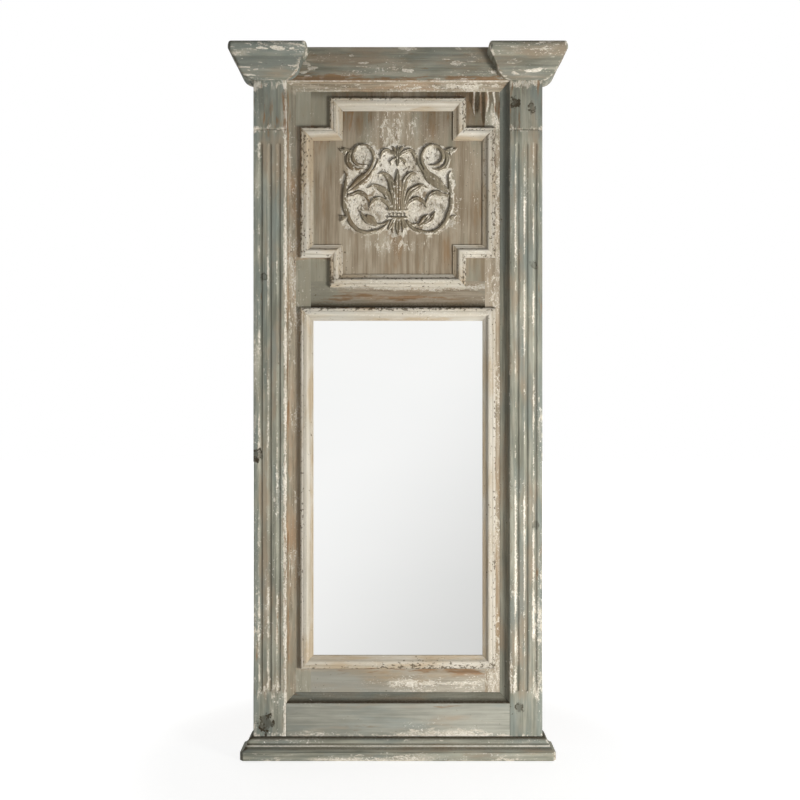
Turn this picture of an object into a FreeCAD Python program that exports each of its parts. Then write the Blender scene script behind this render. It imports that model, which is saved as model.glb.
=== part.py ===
import FreeCAD, Part
import os
import Sketcher

Vector = FreeCAD.Vector

# A tall pier mirror: two fluted pilasters with moulded capitals carry a top rail and a bottom rail,
# a recessed field between them holds a cross-shaped carved panel above and a mirror below,
# and a moulded base runs round the foot.
# Millimetres, +Z up, the front faces -Y, the origin is under the middle of the whole object.

doc = FreeCAD.newDocument("pier_mirror")
sheet = doc.addObject("Spreadsheet::Sheet", "Sheet")

SIZES = {
    # Front of the frame, from the outside of one pilaster to the other
    "front_width": 692,
    "pilaster_width": 78,
    "face_board": 20,
    "face_depth": 56,
    "side_board": 20,
    # Heights, stacked from the floor to the top
    "base_height": 50,
    "bottom_rail_show": 78,
    "mirror_gap": 80,
    "mirror_frame_height": 869,
    "frame_gap": 49,
    "panel_frame_height": 456,
    "panel_gap": 38,
    "crown_height": 80,
    # Capitals and base
    "crown_projection": 54,
    "base_projection": 29,
    # Flutes and the neck line of a pilaster
    "flute_width": 11,
    "flute_depth": 3.5,
    "flute_pitch": 21.5,
    "flute_foot": 28,
    "flute_head": 150,
    "neck_drop": 117,
    "neck_width": 6,
    "neck_depth": 3,
    # Recessed field and its hollow moulding
    "field_thickness": 9,
    "cove_width": 22,
    "cove_height": 18,
    # Raised moulding round the panel and round the mirror
    "frame_margin": 11,
    "mould_width": 31,
    "mould_height": 15,
    "notch_width": 71,
    "notch_height": 71,
    # Carving on the panel
    "carving_margin": 16,
    "carving_lift": 6,
    "carving_thickness": 8,
    # Mirror glass, its backing and what holds it
    "glass_thickness": 4,
    "glass_overlap": 5,
    "glass_clearance": 1,
    "batten_width": 24,
    "batten_thickness": 8,
    "batten_overlap": 9,
    # Rails behind the field
    "back_rail_height": 80,
    "back_rail_thickness": 20,
    # Wood screws
    "screw_radius": 1.75,
    "screw_head_radius": 3.5,
    "screw_head_height": 2,
    "screw_bite": 6,
    "screw_clearance": 0.1,
    # Hanging rings with their straps
    "hanger_spacing": 400,
    "hanger_drop": 24,
    "strap_width": 13,
    "strap_length": 44,
    "strap_thickness": 1.2,
    "strap_screw_first": 25,
    "strap_screw_pitch": 12,
    "ring_wire_radius": 1.75,
    "ring_corner_radius": 3.5,
    "ring_side_play": 0.5,
    "ring_running_clearance": 0.05,
    "ring_gap": 0.3,
    # Length by which every cutter runs past what it cuts
    "cut_overrun": 5,
}
for row, (name, number) in enumerate(SIZES.items(), start=1):
    sheet.set(f"A{row}", name)
    sheet.set(f"B{row}", str(number))
    sheet.setAlias(f"B{row}", name)
doc.recompute()

# Planes of the object, worked out from the driving dimensions
BACK_Y = "((Sheet.face_depth + Sheet.crown_projection) / 2)"
FACE_Y = f"({BACK_Y} - Sheet.face_depth)"
FIELD_Y = f"({FACE_Y} + Sheet.face_board)"
FIELD_BACK_Y = f"({FIELD_Y} + Sheet.field_thickness)"
RAIL_BACK_Y = f"({FIELD_BACK_Y} + Sheet.back_rail_thickness)"
GLASS_BACK_Y = f"({FIELD_Y} + Sheet.glass_thickness)"
BATTEN_BACK_Y = f"({FIELD_BACK_Y} + Sheet.batten_thickness)"

FRONT_HALF = "(Sheet.front_width / 2)"
RECESS_HALF = "(Sheet.front_width / 2 - Sheet.pilaster_width)"
SIDE_INNER = "(Sheet.front_width / 2 - Sheet.side_board)"
FRAME_HALF = f"({RECESS_HALF} - Sheet.cove_width - Sheet.frame_margin)"
ARM_HALF = f"({FRAME_HALF} - Sheet.notch_width)"
GLASS_HALF = f"({FRAME_HALF} - Sheet.mould_width + Sheet.glass_overlap)"
OPEN_HALF = f"({GLASS_HALF} + Sheet.glass_clearance)"

RAIL_TOP_Z = "(Sheet.base_height + Sheet.bottom_rail_show)"
MIRROR_LOW_Z = f"({RAIL_TOP_Z} + Sheet.mirror_gap)"
MIRROR_HIGH_Z = f"({MIRROR_LOW_Z} + Sheet.mirror_frame_height)"
PANEL_LOW_Z = f"({MIRROR_HIGH_Z} + Sheet.frame_gap)"
PANEL_HIGH_Z = f"({PANEL_LOW_Z} + Sheet.panel_frame_height)"
CROWN_Z = f"({PANEL_HIGH_Z} + Sheet.panel_gap)"
TOP_Z = f"({CROWN_Z} + Sheet.crown_height)"
ARM_LOW_Z = f"({PANEL_LOW_Z} + Sheet.notch_height)"
ARM_HIGH_Z = f"({PANEL_HIGH_Z} - Sheet.notch_height)"
PANEL_JOINT_Z = f"({PANEL_LOW_Z} + Sheet.mould_width / 2)"
GLASS_LOW_Z = f"({MIRROR_LOW_Z} + Sheet.mould_width - Sheet.glass_overlap)"
GLASS_HIGH_Z = f"({MIRROR_HIGH_Z} - Sheet.mould_width + Sheet.glass_overlap)"
OPEN_LOW_Z = f"({GLASS_LOW_Z} - Sheet.glass_clearance)"
OPEN_HIGH_Z = f"({GLASS_HIGH_Z} + Sheet.glass_clearance)"

SIDES = (("left", "-1"), ("right", "1"))
nodes = {}


def size(expression):
    return float(sheet.evalExpression(expression))


def keep(label, item):
    item.Label = label
    nodes[label] = item
    return item


def place(item, x, y, z):
    item.setExpression("Placement.Base.x", x)
    item.setExpression("Placement.Base.y", y)
    item.setExpression("Placement.Base.z", z)


def new_sketch(body, role, name):
    plane = [feature for feature in body.Origin.OriginFeatures if feature.Role == role][0]
    sketch = body.newObject("Sketcher::SketchObject", name)
    sketch.AttachmentSupport = (plane, [""])
    sketch.MapMode = "FlatFace"
    return sketch


def hold_point(sketch, edge, end, x, y):
    """Tie one point of a sketch to its two expressions, or to an axis where one of them is zero."""
    for kind, axis, expression in (("DistanceX", -2, x), ("DistanceY", -1, y)):
        if expression == "0":
            sketch.addConstraint(Sketcher.Constraint("PointOnObject", edge, end, axis))
            continue
        rule = Sketcher.Constraint(kind, -1, 1, edge, end, size(expression))
        number = sketch.addConstraint(rule)
        sketch.setExpression(f"Constraints[{number}]", expression)


def draw_outline(sketch, corners):
    """Closed outline. A corner is (x, y), or (x, y, via x, via y) where an arc leads to the next one."""
    spots = [Vector(size(corner[0]), size(corner[1]), 0) for corner in corners]
    ends = []
    for index, corner in enumerate(corners):
        start = spots[index]
        stop = spots[(index + 1) % len(spots)]
        if len(corner) == 2:
            edge = sketch.addGeometry(Part.LineSegment(start, stop), False)
            ends.append((edge, 1, 2))
            continue
        via = Vector(size(corner[2]), size(corner[3]), 0)
        edge = sketch.addGeometry(Part.Arc(start, via, stop), False)
        first, last = (sketch.getPoint(edge, end).distanceToPoint(start) for end in (1, 2))
        ends.append((edge, 1, 2) if first < last else (edge, 2, 1))
        middle = sketch.addGeometry(Part.Point(via), True)
        hold_point(sketch, middle, 1, corner[2], corner[3])
        sketch.addConstraint(Sketcher.Constraint("PointOnObject", middle, 1, edge))
    for index, corner in enumerate(corners):
        edge, first, last = ends[index]
        following, next_first, next_last = ends[(index + 1) % len(ends)]
        sketch.addConstraint(Sketcher.Constraint("Coincident", edge, last, following, next_first))
        hold_point(sketch, edge, first, corner[0], corner[1])


def pad(body, sketch, length, backwards=False):
    feature = body.newObject("PartDesign::Pad", sketch.Name + "_pad")
    feature.Profile = sketch
    feature.Reversed = backwards
    feature.setExpression("Length", length)
    return feature


def cut_through(body, sketch, backwards=False):
    feature = body.newObject("PartDesign::Pocket", sketch.Name + "_cut")
    feature.Profile = sketch
    feature.Type = "ThroughAll"
    feature.Reversed = backwards
    return feature


def board(label, low, high):
    """Plain board between two corners."""
    item = doc.addObject("Part::Box", label)
    for side, start, stop in zip(("Length", "Width", "Height"), low, high):
        item.setExpression(side, f"{stop} - {start}")
    place(item, *low)
    return item


def plank(label, low, high):
    """Board that is a piece by itself."""
    return keep(label, board(label, low, high))


def rod(label, radius, length, x, y, z):
    """Round bar that lies along Y, from y towards the back."""
    item = doc.addObject("Part::Cylinder", label)
    item.setExpression("Radius", radius)
    item.setExpression("Height", length)
    item.Placement.Rotation = FreeCAD.Rotation(Vector(1, 0, 0), -90)
    place(item, x, y, z)
    return item


def group(kind, label, members):
    item = doc.addObject(kind, label)
    if kind == "Part::Compound":
        item.Links = members
    else:
        item.Shapes = members
    return item


def cut(label, base, tool):
    item = doc.addObject("Part::Cut", label)
    item.Base = base
    item.Tool = tool
    return item


# Mouldings: the outline runs across the stick, as shares of its width and of its height.
# A stretch that ends in two more shares is an arc through that point.
MOULD_SHARES = (
    (0, 0),
    (1, 0),
    (1, 0.30),
    (0.90, 0.30),
    (0.90, 0.40, 0.74, 0.55),
    (0.62, 0.88, 0.56, 0.97),
    (0.46, 1),
    (0.30, 0.92),
    (0.27, 0.80),
    (0.24, 0.84, 0.09, 0.78),
    (0, 0.50),
)
COVE_SHARES = (
    (0, 0),
    (1, 0),
    (1, 0.08, 0.36, 0.36),
    (0.08, 1),
    (0, 1),
)
CROWN_SHARES = (
    (0, 0),
    (0.10, 0, 0.46, 0.11),
    (0.63, 0.34),
    (0.78, 0.55),
    (0.83, 0.57),
    (1, 0.78),
    (1, 0.86, 0.94, 0.955),
    (0.80, 1),
    (0, 1),
)
BASE_SHARES = (
    (0, 0),
    (1, 0),
    (1, 0.38, 0.72, 0.46),
    (0.56, 0.64),
    (0.48, 0.66, 0.36, 0.88),
    (0.08, 1),
    (0, 1),
)


def scaled(share, length):
    return "0" if share == 0 else f"{share} * {length}"


def stick(label, shares, width, height, length, ends, turn):
    """Moulded stick along its own X, from its seat at y = 0 to its far edge, standing up along Z.

    An end is square, or mitred so that the far edge is shorter (in) or longer (out) than the seat.
    """
    body = doc.addObject("PartDesign::Body", label)
    body.Placement.Rotation = turn
    starts_out = width if ends[0] == "out" else "0"
    stops_out = width if ends[1] == "out" else "0"
    section = new_sketch(body, "YZ_Plane", label + "_section")
    section.setExpression("AttachmentOffset.Base.z", f"-({starts_out})")
    corners = []
    for corner in shares:
        across = [scaled(share, width) for share in corner[0::2]]
        up = [scaled(share, height) for share in corner[1::2]]
        corners.append([expression for pair in zip(across, up) for expression in pair])
    draw_outline(section, corners)
    pad(body, section, f"{length} + {starts_out} + {stops_out}")
    past = "Sheet.cut_overrun"
    wedges = {
        ("in", 0): [(f"-{past}", f"-{past}"), (f"{width} + {past}", f"{width} + {past}"),
                    (f"-{past}", f"{width} + {past}")],
        ("out", 0): [(past, f"-{past}"), (f"-({width} + {past})", f"{width} + {past}"),
                     (f"-({width} + {past})", f"-{past}")],
        ("in", 1): [(f"{length} + {past}", f"-{past}"), (f"{length} + {past}", f"{width} + {past}"),
                    (f"{length} - {width} - {past}", f"{width} + {past}")],
        ("out", 1): [(f"{length} - {past}", f"-{past}"), (f"{length} + {width} + {past}", f"-{past}"),
                     (f"{length} + {width} + {past}", f"{width} + {past}")],
    }
    for side, end in enumerate(ends):
        if end == "square":
            continue
        mitre = new_sketch(body, "XY_Plane", f"{label}_mitre_{side}")
        draw_outline(mitre, wedges[(end, side)])
        cut_through(body, mitre, backwards=True)
    return keep(label, body)


def wall_turn(angle):
    """Turn of a stick that lies on the field: its height faces the viewer, its seat follows the outline."""
    upright = FreeCAD.Rotation(Vector(1, 0, 0), 90)
    return FreeCAD.Rotation(Vector(0, -1, 0), angle).multiply(upright)


def wall_frame(prefix, outline, shares, width, height):
    """Mitred sticks along a closed outline of (name, x, z, length, ends, direction)."""
    for name, x, z, length, ends, angle in outline:
        item = stick(f"{prefix}_{name}", shares, width, height, length, ends, wall_turn(angle))
        place(item, x, FIELD_Y, z)


def plain_outline(half, low, high):
    wide = f"({half} * 2)"
    tall = f"({high} - {low})"
    ends = ("in", "in")
    return (
        ("bottom", f"-{half}", low, wide, ends, 0),
        ("right", half, low, tall, ends, 90),
        ("top", half, high, wide, ends, 180),
        ("left", f"-{half}", high, tall, ends, 270),
    )


def cross_outline():
    """The twelve sides of the cross, round its outer edge from the bottom arm."""
    wide = f"({ARM_HALF} * 2)"
    tall = f"({ARM_HIGH_Z} - {ARM_LOW_Z})"
    across = "Sheet.notch_width"
    rise = "Sheet.notch_height"
    both = ("in", "in")
    into = ("in", "out")
    away = ("out", "in")
    return (
        ("bottom", f"-{ARM_HALF}", PANEL_LOW_Z, wide, both, 0),
        ("lower_right_rise", ARM_HALF, PANEL_LOW_Z, rise, into, 90),
        ("lower_right_step", ARM_HALF, ARM_LOW_Z, across, away, 0),
        ("right", FRAME_HALF, ARM_LOW_Z, tall, both, 90),
        ("upper_right_step", FRAME_HALF, ARM_HIGH_Z, across, into, 180),
        ("upper_right_rise", ARM_HALF, ARM_HIGH_Z, rise, away, 90),
        ("top", ARM_HALF, PANEL_HIGH_Z, wide, both, 180),
        ("upper_left_rise", f"-{ARM_HALF}", PANEL_HIGH_Z, rise, into, 270),
        ("upper_left_step", f"-{ARM_HALF}", ARM_HIGH_Z, across, away, 180),
        ("left", f"-{FRAME_HALF}", ARM_HIGH_Z, tall, both, 270),
        ("lower_left_step", f"-{FRAME_HALF}", ARM_LOW_Z, across, into, 0),
        ("lower_left_rise", f"-{ARM_HALF}", ARM_LOW_Z, rise, away, 270),
    )


# Pilasters: tall boards with three round-bottomed flutes and a neck line under the capital
def pilaster(label, x):
    body = doc.addObject("PartDesign::Body", label)
    front = new_sketch(body, "XZ_Plane", label + "_front")
    wide = "Sheet.pilaster_width"
    draw_outline(front, [("0", "0"), (wide, "0"), (wide, TOP_Z), ("0", TOP_Z)])
    pad(body, front, "Sheet.face_board", backwards=True)
    # The cutter is wider than the flute, and its axis runs in front of the board
    half = "Sheet.flute_width / 2"
    radius = f"({half} * {half} + Sheet.flute_depth * Sheet.flute_depth) / (2 * Sheet.flute_depth)"
    curve = f"{radius} * cos(45)"
    low = f"({RAIL_TOP_Z} + Sheet.flute_foot)"
    high = f"({CROWN_Z} - Sheet.flute_head)"
    flute = new_sketch(body, "XZ_Plane", label + "_flute")
    flute.setExpression("AttachmentOffset.Base.x", "Sheet.pilaster_width / 2 - Sheet.flute_pitch")
    flute.setExpression("AttachmentOffset.Base.z", f"{radius} - Sheet.flute_depth")
    draw_outline(flute, [
        ("0", low, curve, f"{low} + {radius} - {curve}"),
        (radius, f"{low} + {radius}"),
        (radius, f"{high} - {radius}", curve, f"{high} - {radius} + {curve}"),
        ("0", high),
    ])
    groove = body.newObject("PartDesign::Groove", label + "_groove")
    groove.Profile = flute
    groove.ReferenceAxis = (flute, ["V_Axis"])
    doc.recompute()
    row = body.newObject("PartDesign::LinearPattern", label + "_flutes")
    row.Originals = [groove]
    row.Direction = (front, ["H_Axis"])
    row.setExpression("Length", "Sheet.flute_pitch * 2")
    row.Occurrences = 3
    body.Tip = row
    doc.recompute()
    neck = new_sketch(body, "YZ_Plane", label + "_neck")
    middle = f"({CROWN_Z} - Sheet.neck_drop)"
    draw_outline(neck, [
        ("0", f"{middle} - Sheet.neck_width / 2"),
        ("Sheet.neck_depth", middle),
        ("0", f"{middle} + Sheet.neck_width / 2"),
    ])
    body.Tip = cut_through(body, neck, backwards=True)
    place(body, x, FACE_Y, "0")
    return keep(label, body)


pilaster("pilaster_left", f"-{FRONT_HALF}")
pilaster("pilaster_right", RECESS_HALF)

# Rails between the pilasters, flush with them, and the boards that give the frame its depth
plank("top_rail", (f"-{RECESS_HALF}", FACE_Y, CROWN_Z), (RECESS_HALF, FIELD_Y, TOP_Z))
plank("bottom_rail", (f"-{RECESS_HALF}", FACE_Y, "0"), (RECESS_HALF, FIELD_Y, RAIL_TOP_Z))
plank("side_board_left", (f"-{FRONT_HALF}", FIELD_Y, "0"), (f"-{SIDE_INNER}", BACK_Y, TOP_Z))
plank("side_board_right", (SIDE_INNER, FIELD_Y, "0"), (FRONT_HALF, BACK_Y, TOP_Z))
BACK_RAIL_TOP_Z = "Sheet.back_rail_height"
plank("back_rail_bottom", (f"-{SIDE_INNER}", FIELD_BACK_Y, "0"), (SIDE_INNER, RAIL_BACK_Y, BACK_RAIL_TOP_Z))

# Screws of the battens behind the mirror, as shares of the length of each batten
BATTEN_SCREW_SHARES = (0.08, 0.36, 0.64, 0.92)
BATTEN_OUTER = f"({GLASS_HALF} - Sheet.batten_overlap + Sheet.batten_width)"
BATTEN_INNER = f"({GLASS_HALF} - Sheet.batten_overlap)"
BATTEN_LOW_Z = f"({GLASS_LOW_Z} + Sheet.batten_overlap - Sheet.batten_width)"
BATTEN_HIGH_Z = f"({GLASS_HIGH_Z} - Sheet.batten_overlap + Sheet.batten_width)"
SIDE_BATTEN_LOW_Z = f"({GLASS_LOW_Z} + Sheet.batten_overlap)"
SIDE_BATTEN_HIGH_Z = f"({GLASS_HIGH_Z} - Sheet.batten_overlap)"
SIDE_SCREW_X = f"(({OPEN_HALF} + {BATTEN_OUTER}) / 2)"
LOW_SCREW_Z = f"(({OPEN_LOW_Z} + {BATTEN_LOW_Z}) / 2)"
HIGH_SCREW_Z = f"(({OPEN_HIGH_Z} + {BATTEN_HIGH_Z}) / 2)"


def along(low, high):
    return [f"({low} + ({high} - {low}) * {share})" for share in BATTEN_SCREW_SHARES]


upright_spots = along(SIDE_BATTEN_LOW_Z, SIDE_BATTEN_HIGH_Z)
level_spots = along(f"-{GLASS_HALF}", GLASS_HALF)
BATTEN_SCREWS = {
    "left": [(f"-{SIDE_SCREW_X}", z) for z in upright_spots],
    "right": [(SIDE_SCREW_X, z) for z in upright_spots],
    "bottom": [(x, LOW_SCREW_Z) for x in level_spots],
    "top": [(x, HIGH_SCREW_Z) for x in level_spots],
}
HOLE_RADIUS = "Sheet.screw_radius + Sheet.screw_clearance"


def drilled(label, low, high, spots, start, stop):
    """Board with screw holes along Y between two planes."""
    blank = board(label + "_blank", low, high)
    holes = []
    for number, (x, z) in enumerate(spots):
        holes.append(rod(f"{label}_hole_{number}", HOLE_RADIUS, f"{stop} - {start}", x, start, z))
    return keep(label, cut(label, blank, group("Part::MultiFuse", label + "_holes", holes)))


def screws(label, spots, seat, depth):
    """Round-headed wood screws whose heads lie on the seat plane, driven towards the front."""
    members = []
    for number, (x, z) in enumerate(spots):
        name = f"{label}_{number}"
        shank = rod(name + "_shank", "Sheet.screw_radius", depth, x, f"{seat} - {depth}", z)
        head = rod(name + "_head", "Sheet.screw_head_radius", "Sheet.screw_head_height", x, seat, z)
        members.append(group("Part::MultiFuse", name, [shank, head]))
    return keep(label, group("Part::Compound", label, members))


# Field boards behind the pilasters and rails: they leave the opening for the glass
BITE_Y = f"({FIELD_BACK_Y} - Sheet.screw_bite - Sheet.screw_clearance)"
PAST_FIELD_Y = f"({FIELD_BACK_Y} + Sheet.cut_overrun)"
FIELD_BOARDS = {
    "field_stile_left": ("left", f"-{SIDE_INNER}", "Sheet.base_height", f"-{OPEN_HALF}", TOP_Z),
    "field_stile_right": ("right", OPEN_HALF, "Sheet.base_height", SIDE_INNER, TOP_Z),
    "field_bottom_rail": ("bottom", f"-{OPEN_HALF}", "Sheet.base_height", OPEN_HALF, OPEN_LOW_Z),
    "field_middle_rail": ("top", f"-{OPEN_HALF}", OPEN_HIGH_Z, OPEN_HALF, PANEL_JOINT_Z),
}
for label, (side, x_low, z_low, x_high, z_high) in FIELD_BOARDS.items():
    low = (x_low, FIELD_Y, z_low)
    high = (x_high, FIELD_BACK_Y, z_high)
    drilled(label, low, high, BATTEN_SCREWS[side], BITE_Y, PAST_FIELD_Y)
plank("upper_panel", (f"-{OPEN_HALF}", FIELD_Y, PANEL_JOINT_Z), (OPEN_HALF, FIELD_BACK_Y, TOP_Z))

# Hollow moulding round the recess, and the raised mouldings round the panel and the mirror
recess_outline = plain_outline(RECESS_HALF, RAIL_TOP_Z, CROWN_Z)
mirror_outline = plain_outline(FRAME_HALF, MIRROR_LOW_Z, MIRROR_HIGH_Z)
wall_frame("cove", recess_outline, COVE_SHARES, "Sheet.cove_width", "Sheet.cove_height")
wall_frame("panel_mould", cross_outline(), MOULD_SHARES, "Sheet.mould_width", "Sheet.mould_height")
wall_frame("mirror_mould", mirror_outline, MOULD_SHARES, "Sheet.mould_width", "Sheet.mould_height")

# Mirror glass against the back of its moulding, a backing board flush with the field, four battens
plank("mirror_glass", (f"-{GLASS_HALF}", FIELD_Y, GLASS_LOW_Z), (GLASS_HALF, GLASS_BACK_Y, GLASS_HIGH_Z))
BACKING_CORNER = (GLASS_HALF, FIELD_BACK_Y, GLASS_HIGH_Z)
plank("mirror_backing", (f"-{GLASS_HALF}", GLASS_BACK_Y, GLASS_LOW_Z), BACKING_CORNER)
BATTENS = {
    "left": (f"-{BATTEN_OUTER}", SIDE_BATTEN_LOW_Z, f"-{BATTEN_INNER}", SIDE_BATTEN_HIGH_Z),
    "right": (BATTEN_INNER, SIDE_BATTEN_LOW_Z, BATTEN_OUTER, SIDE_BATTEN_HIGH_Z),
    "bottom": (f"-{BATTEN_OUTER}", BATTEN_LOW_Z, BATTEN_OUTER, SIDE_BATTEN_LOW_Z),
    "top": (f"-{BATTEN_OUTER}", SIDE_BATTEN_HIGH_Z, BATTEN_OUTER, BATTEN_HIGH_Z),
}
PAST_BATTEN_Y = f"({BATTEN_BACK_Y} + Sheet.cut_overrun)"
BEFORE_BATTEN_Y = f"({FIELD_BACK_Y} - Sheet.cut_overrun)"
for side, (x_low, z_low, x_high, z_high) in BATTENS.items():
    low = (x_low, FIELD_BACK_Y, z_low)
    high = (x_high, BATTEN_BACK_Y, z_high)
    drilled(f"backing_batten_{side}", low, high, BATTEN_SCREWS[side], BEFORE_BATTEN_Y, PAST_BATTEN_Y)
screws(
    "batten_screws",
    [spot for spots in BATTEN_SCREWS.values() for spot in spots],
    BATTEN_BACK_Y,
    "(Sheet.batten_thickness + Sheet.screw_bite)",
)


# Capitals and base: mitred sticks that stand out from the frame
def level_turn(angle):
    return FreeCAD.Rotation(Vector(0, 0, 1), angle)


def crown(label, length, ends, angle, x, y):
    sizes = ("Sheet.crown_projection", "Sheet.crown_height")
    item = stick(label, CROWN_SHARES, *sizes, length, ends, level_turn(angle))
    place(item, x, y, CROWN_Z)


def base(label, length, ends, angle, x, y):
    sizes = ("Sheet.base_projection", "Sheet.base_height")
    item = stick(label, BASE_SHARES, *sizes, length, ends, level_turn(angle))
    place(item, x, y, "0")


crown("capital_left_front", "Sheet.pilaster_width", ("out", "out"), 180, f"-{RECESS_HALF}", FACE_Y)
crown("capital_left_outer_return", "Sheet.face_depth", ("out", "square"), 90, f"-{FRONT_HALF}", FACE_Y)
crown("capital_left_inner_return", "0", ("square", "out"), -90, f"-{RECESS_HALF}", FACE_Y)
crown("capital_right_front", "Sheet.pilaster_width", ("out", "out"), 180, FRONT_HALF, FACE_Y)
crown("capital_right_outer_return", "Sheet.face_depth", ("square", "out"), -90, FRONT_HALF, BACK_Y)
crown("capital_right_inner_return", "0", ("out", "square"), 90, RECESS_HALF, FACE_Y)
base("base_front", "Sheet.front_width", ("out", "out"), 180, FRONT_HALF, FACE_Y)
base("base_return_left", "Sheet.face_depth", ("out", "square"), 90, f"-{FRONT_HALF}", FACE_Y)
base("base_return_right", "Sheet.face_depth", ("square", "out"), -90, FRONT_HALF, BACK_Y)

# Hanging rail with two strap hangers, whose rings fold down flat or swing up to the wall hook
HANGER_Z = f"({TOP_Z} - Sheet.hanger_drop)"
HANGER_Y = f"({RAIL_BACK_Y} + Sheet.strap_thickness + Sheet.ring_gap + Sheet.ring_wire_radius)"
STRAP_BACK_Y = f"({RAIL_BACK_Y} + Sheet.strap_thickness)"
BORE_RADIUS = "(Sheet.ring_wire_radius + Sheet.ring_running_clearance)"
BARREL_RADIUS = f"({BORE_RADIUS} + Sheet.strap_thickness)"
STRAP_SCREW_Z = (
    f"({HANGER_Z} - Sheet.strap_screw_first)",
    f"({HANGER_Z} - Sheet.strap_screw_first - Sheet.strap_screw_pitch)",
)
STRAP_SCREWS = {}
for side, sign in SIDES:
    STRAP_SCREWS[side] = [(f"{sign} * Sheet.hanger_spacing / 2", z) for z in STRAP_SCREW_Z]
RAIL_BITE_Y = f"({RAIL_BACK_Y} - Sheet.screw_bite - Sheet.screw_clearance)"
drilled(
    "back_rail_top",
    (f"-{SIDE_INNER}", FIELD_BACK_Y, f"({TOP_Z} - Sheet.back_rail_height)"),
    (SIDE_INNER, RAIL_BACK_Y, TOP_Z),
    STRAP_SCREWS["left"] + STRAP_SCREWS["right"],
    RAIL_BITE_Y,
    f"({RAIL_BACK_Y} + Sheet.cut_overrun)",
)


def crossbar(label, radius, length, x):
    """Round bar along X, centred on x, on the axis of the hanging rings."""
    item = doc.addObject("Part::Cylinder", label)
    item.setExpression("Radius", radius)
    item.setExpression("Height", length)
    item.Placement.Rotation = FreeCAD.Rotation(Vector(0, 1, 0), 90)
    place(item, f"{x} - ({length}) / 2", HANGER_Y, HANGER_Z)
    return item


def strap(label, x, spots):
    """Flat strap with two screw holes, rolled round the ring's bar at its upper end."""
    half = "Sheet.strap_width / 2"
    plate = board(
        label + "_plate",
        (f"({x} - {half})", RAIL_BACK_Y, f"({HANGER_Z} - Sheet.strap_length)"),
        (f"({x} + {half})", STRAP_BACK_Y, HANGER_Z),
    )
    barrel = crossbar(label + "_barrel", BARREL_RADIUS, "Sheet.strap_width", x)
    tools = [crossbar(label + "_bore", BORE_RADIUS, "Sheet.strap_width + Sheet.cut_overrun", x)]
    for number, (hole_x, hole_z) in enumerate(spots):
        before = f"{RAIL_BACK_Y} - Sheet.cut_overrun"
        depth = "Sheet.strap_thickness + Sheet.cut_overrun * 2"
        tools.append(rod(f"{label}_hole_{number}", HOLE_RADIUS, depth, hole_x, before, hole_z))
    blank = group("Part::MultiFuse", label + "_blank", [plate, barrel])
    return keep(label, cut(label, blank, group("Part::MultiFuse", label + "_cuts", tools)))


def hanging_ring(label, x):
    """D-shaped wire ring: a straight bar in the strap's barrel, two tight corners and a round bow."""
    body = doc.addObject("PartDesign::Body", label)
    half = "(Sheet.strap_width / 2 + Sheet.ring_side_play)"
    corner = "Sheet.ring_corner_radius"
    bow = f"({half} + {corner})"
    path = new_sketch(body, "XZ_Plane", label + "_path")
    draw_outline(path, [
        (f"-{half}", "0"),
        (half, "0", f"{half} + {corner} * sin(45)", f"{corner} * cos(45) - {corner}"),
        (bow, f"-{corner}", "0", f"-({corner} + {bow})"),
        (f"-{bow}", f"-{corner}", f"-({half} + {corner} * sin(45))", f"{corner} * cos(45) - {corner}"),
    ])
    wire = new_sketch(body, "YZ_Plane", label + "_wire")
    radius = size("Sheet.ring_wire_radius")
    circle = wire.addGeometry(Part.Circle(Vector(0, 0, 0), Vector(0, 0, 1), radius), False)
    wire.addConstraint(Sketcher.Constraint("Coincident", circle, 3, -1, 1))
    rule = wire.addConstraint(Sketcher.Constraint("Radius", circle, radius))
    wire.setExpression(f"Constraints[{rule}]", "Sheet.ring_wire_radius")
    sweep = body.newObject("PartDesign::AdditivePipe", label + "_sweep")
    sweep.Profile = wire
    sweep.Spine = path
    place(body, x, HANGER_Y, HANGER_Z)
    return keep(label, body)


for side, sign in SIDES:
    middle = f"({sign} * Sheet.hanger_spacing / 2)"
    strap(f"hanger_strap_{side}", middle, STRAP_SCREWS[side])
    hanging_ring(f"hanger_ring_{side}", middle)
screws(
    "hanger_screws",
    STRAP_SCREWS["left"] + STRAP_SCREWS["right"],
    STRAP_BACK_Y,
    "(Sheet.strap_thickness + Sheet.screw_bite)",
)

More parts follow.
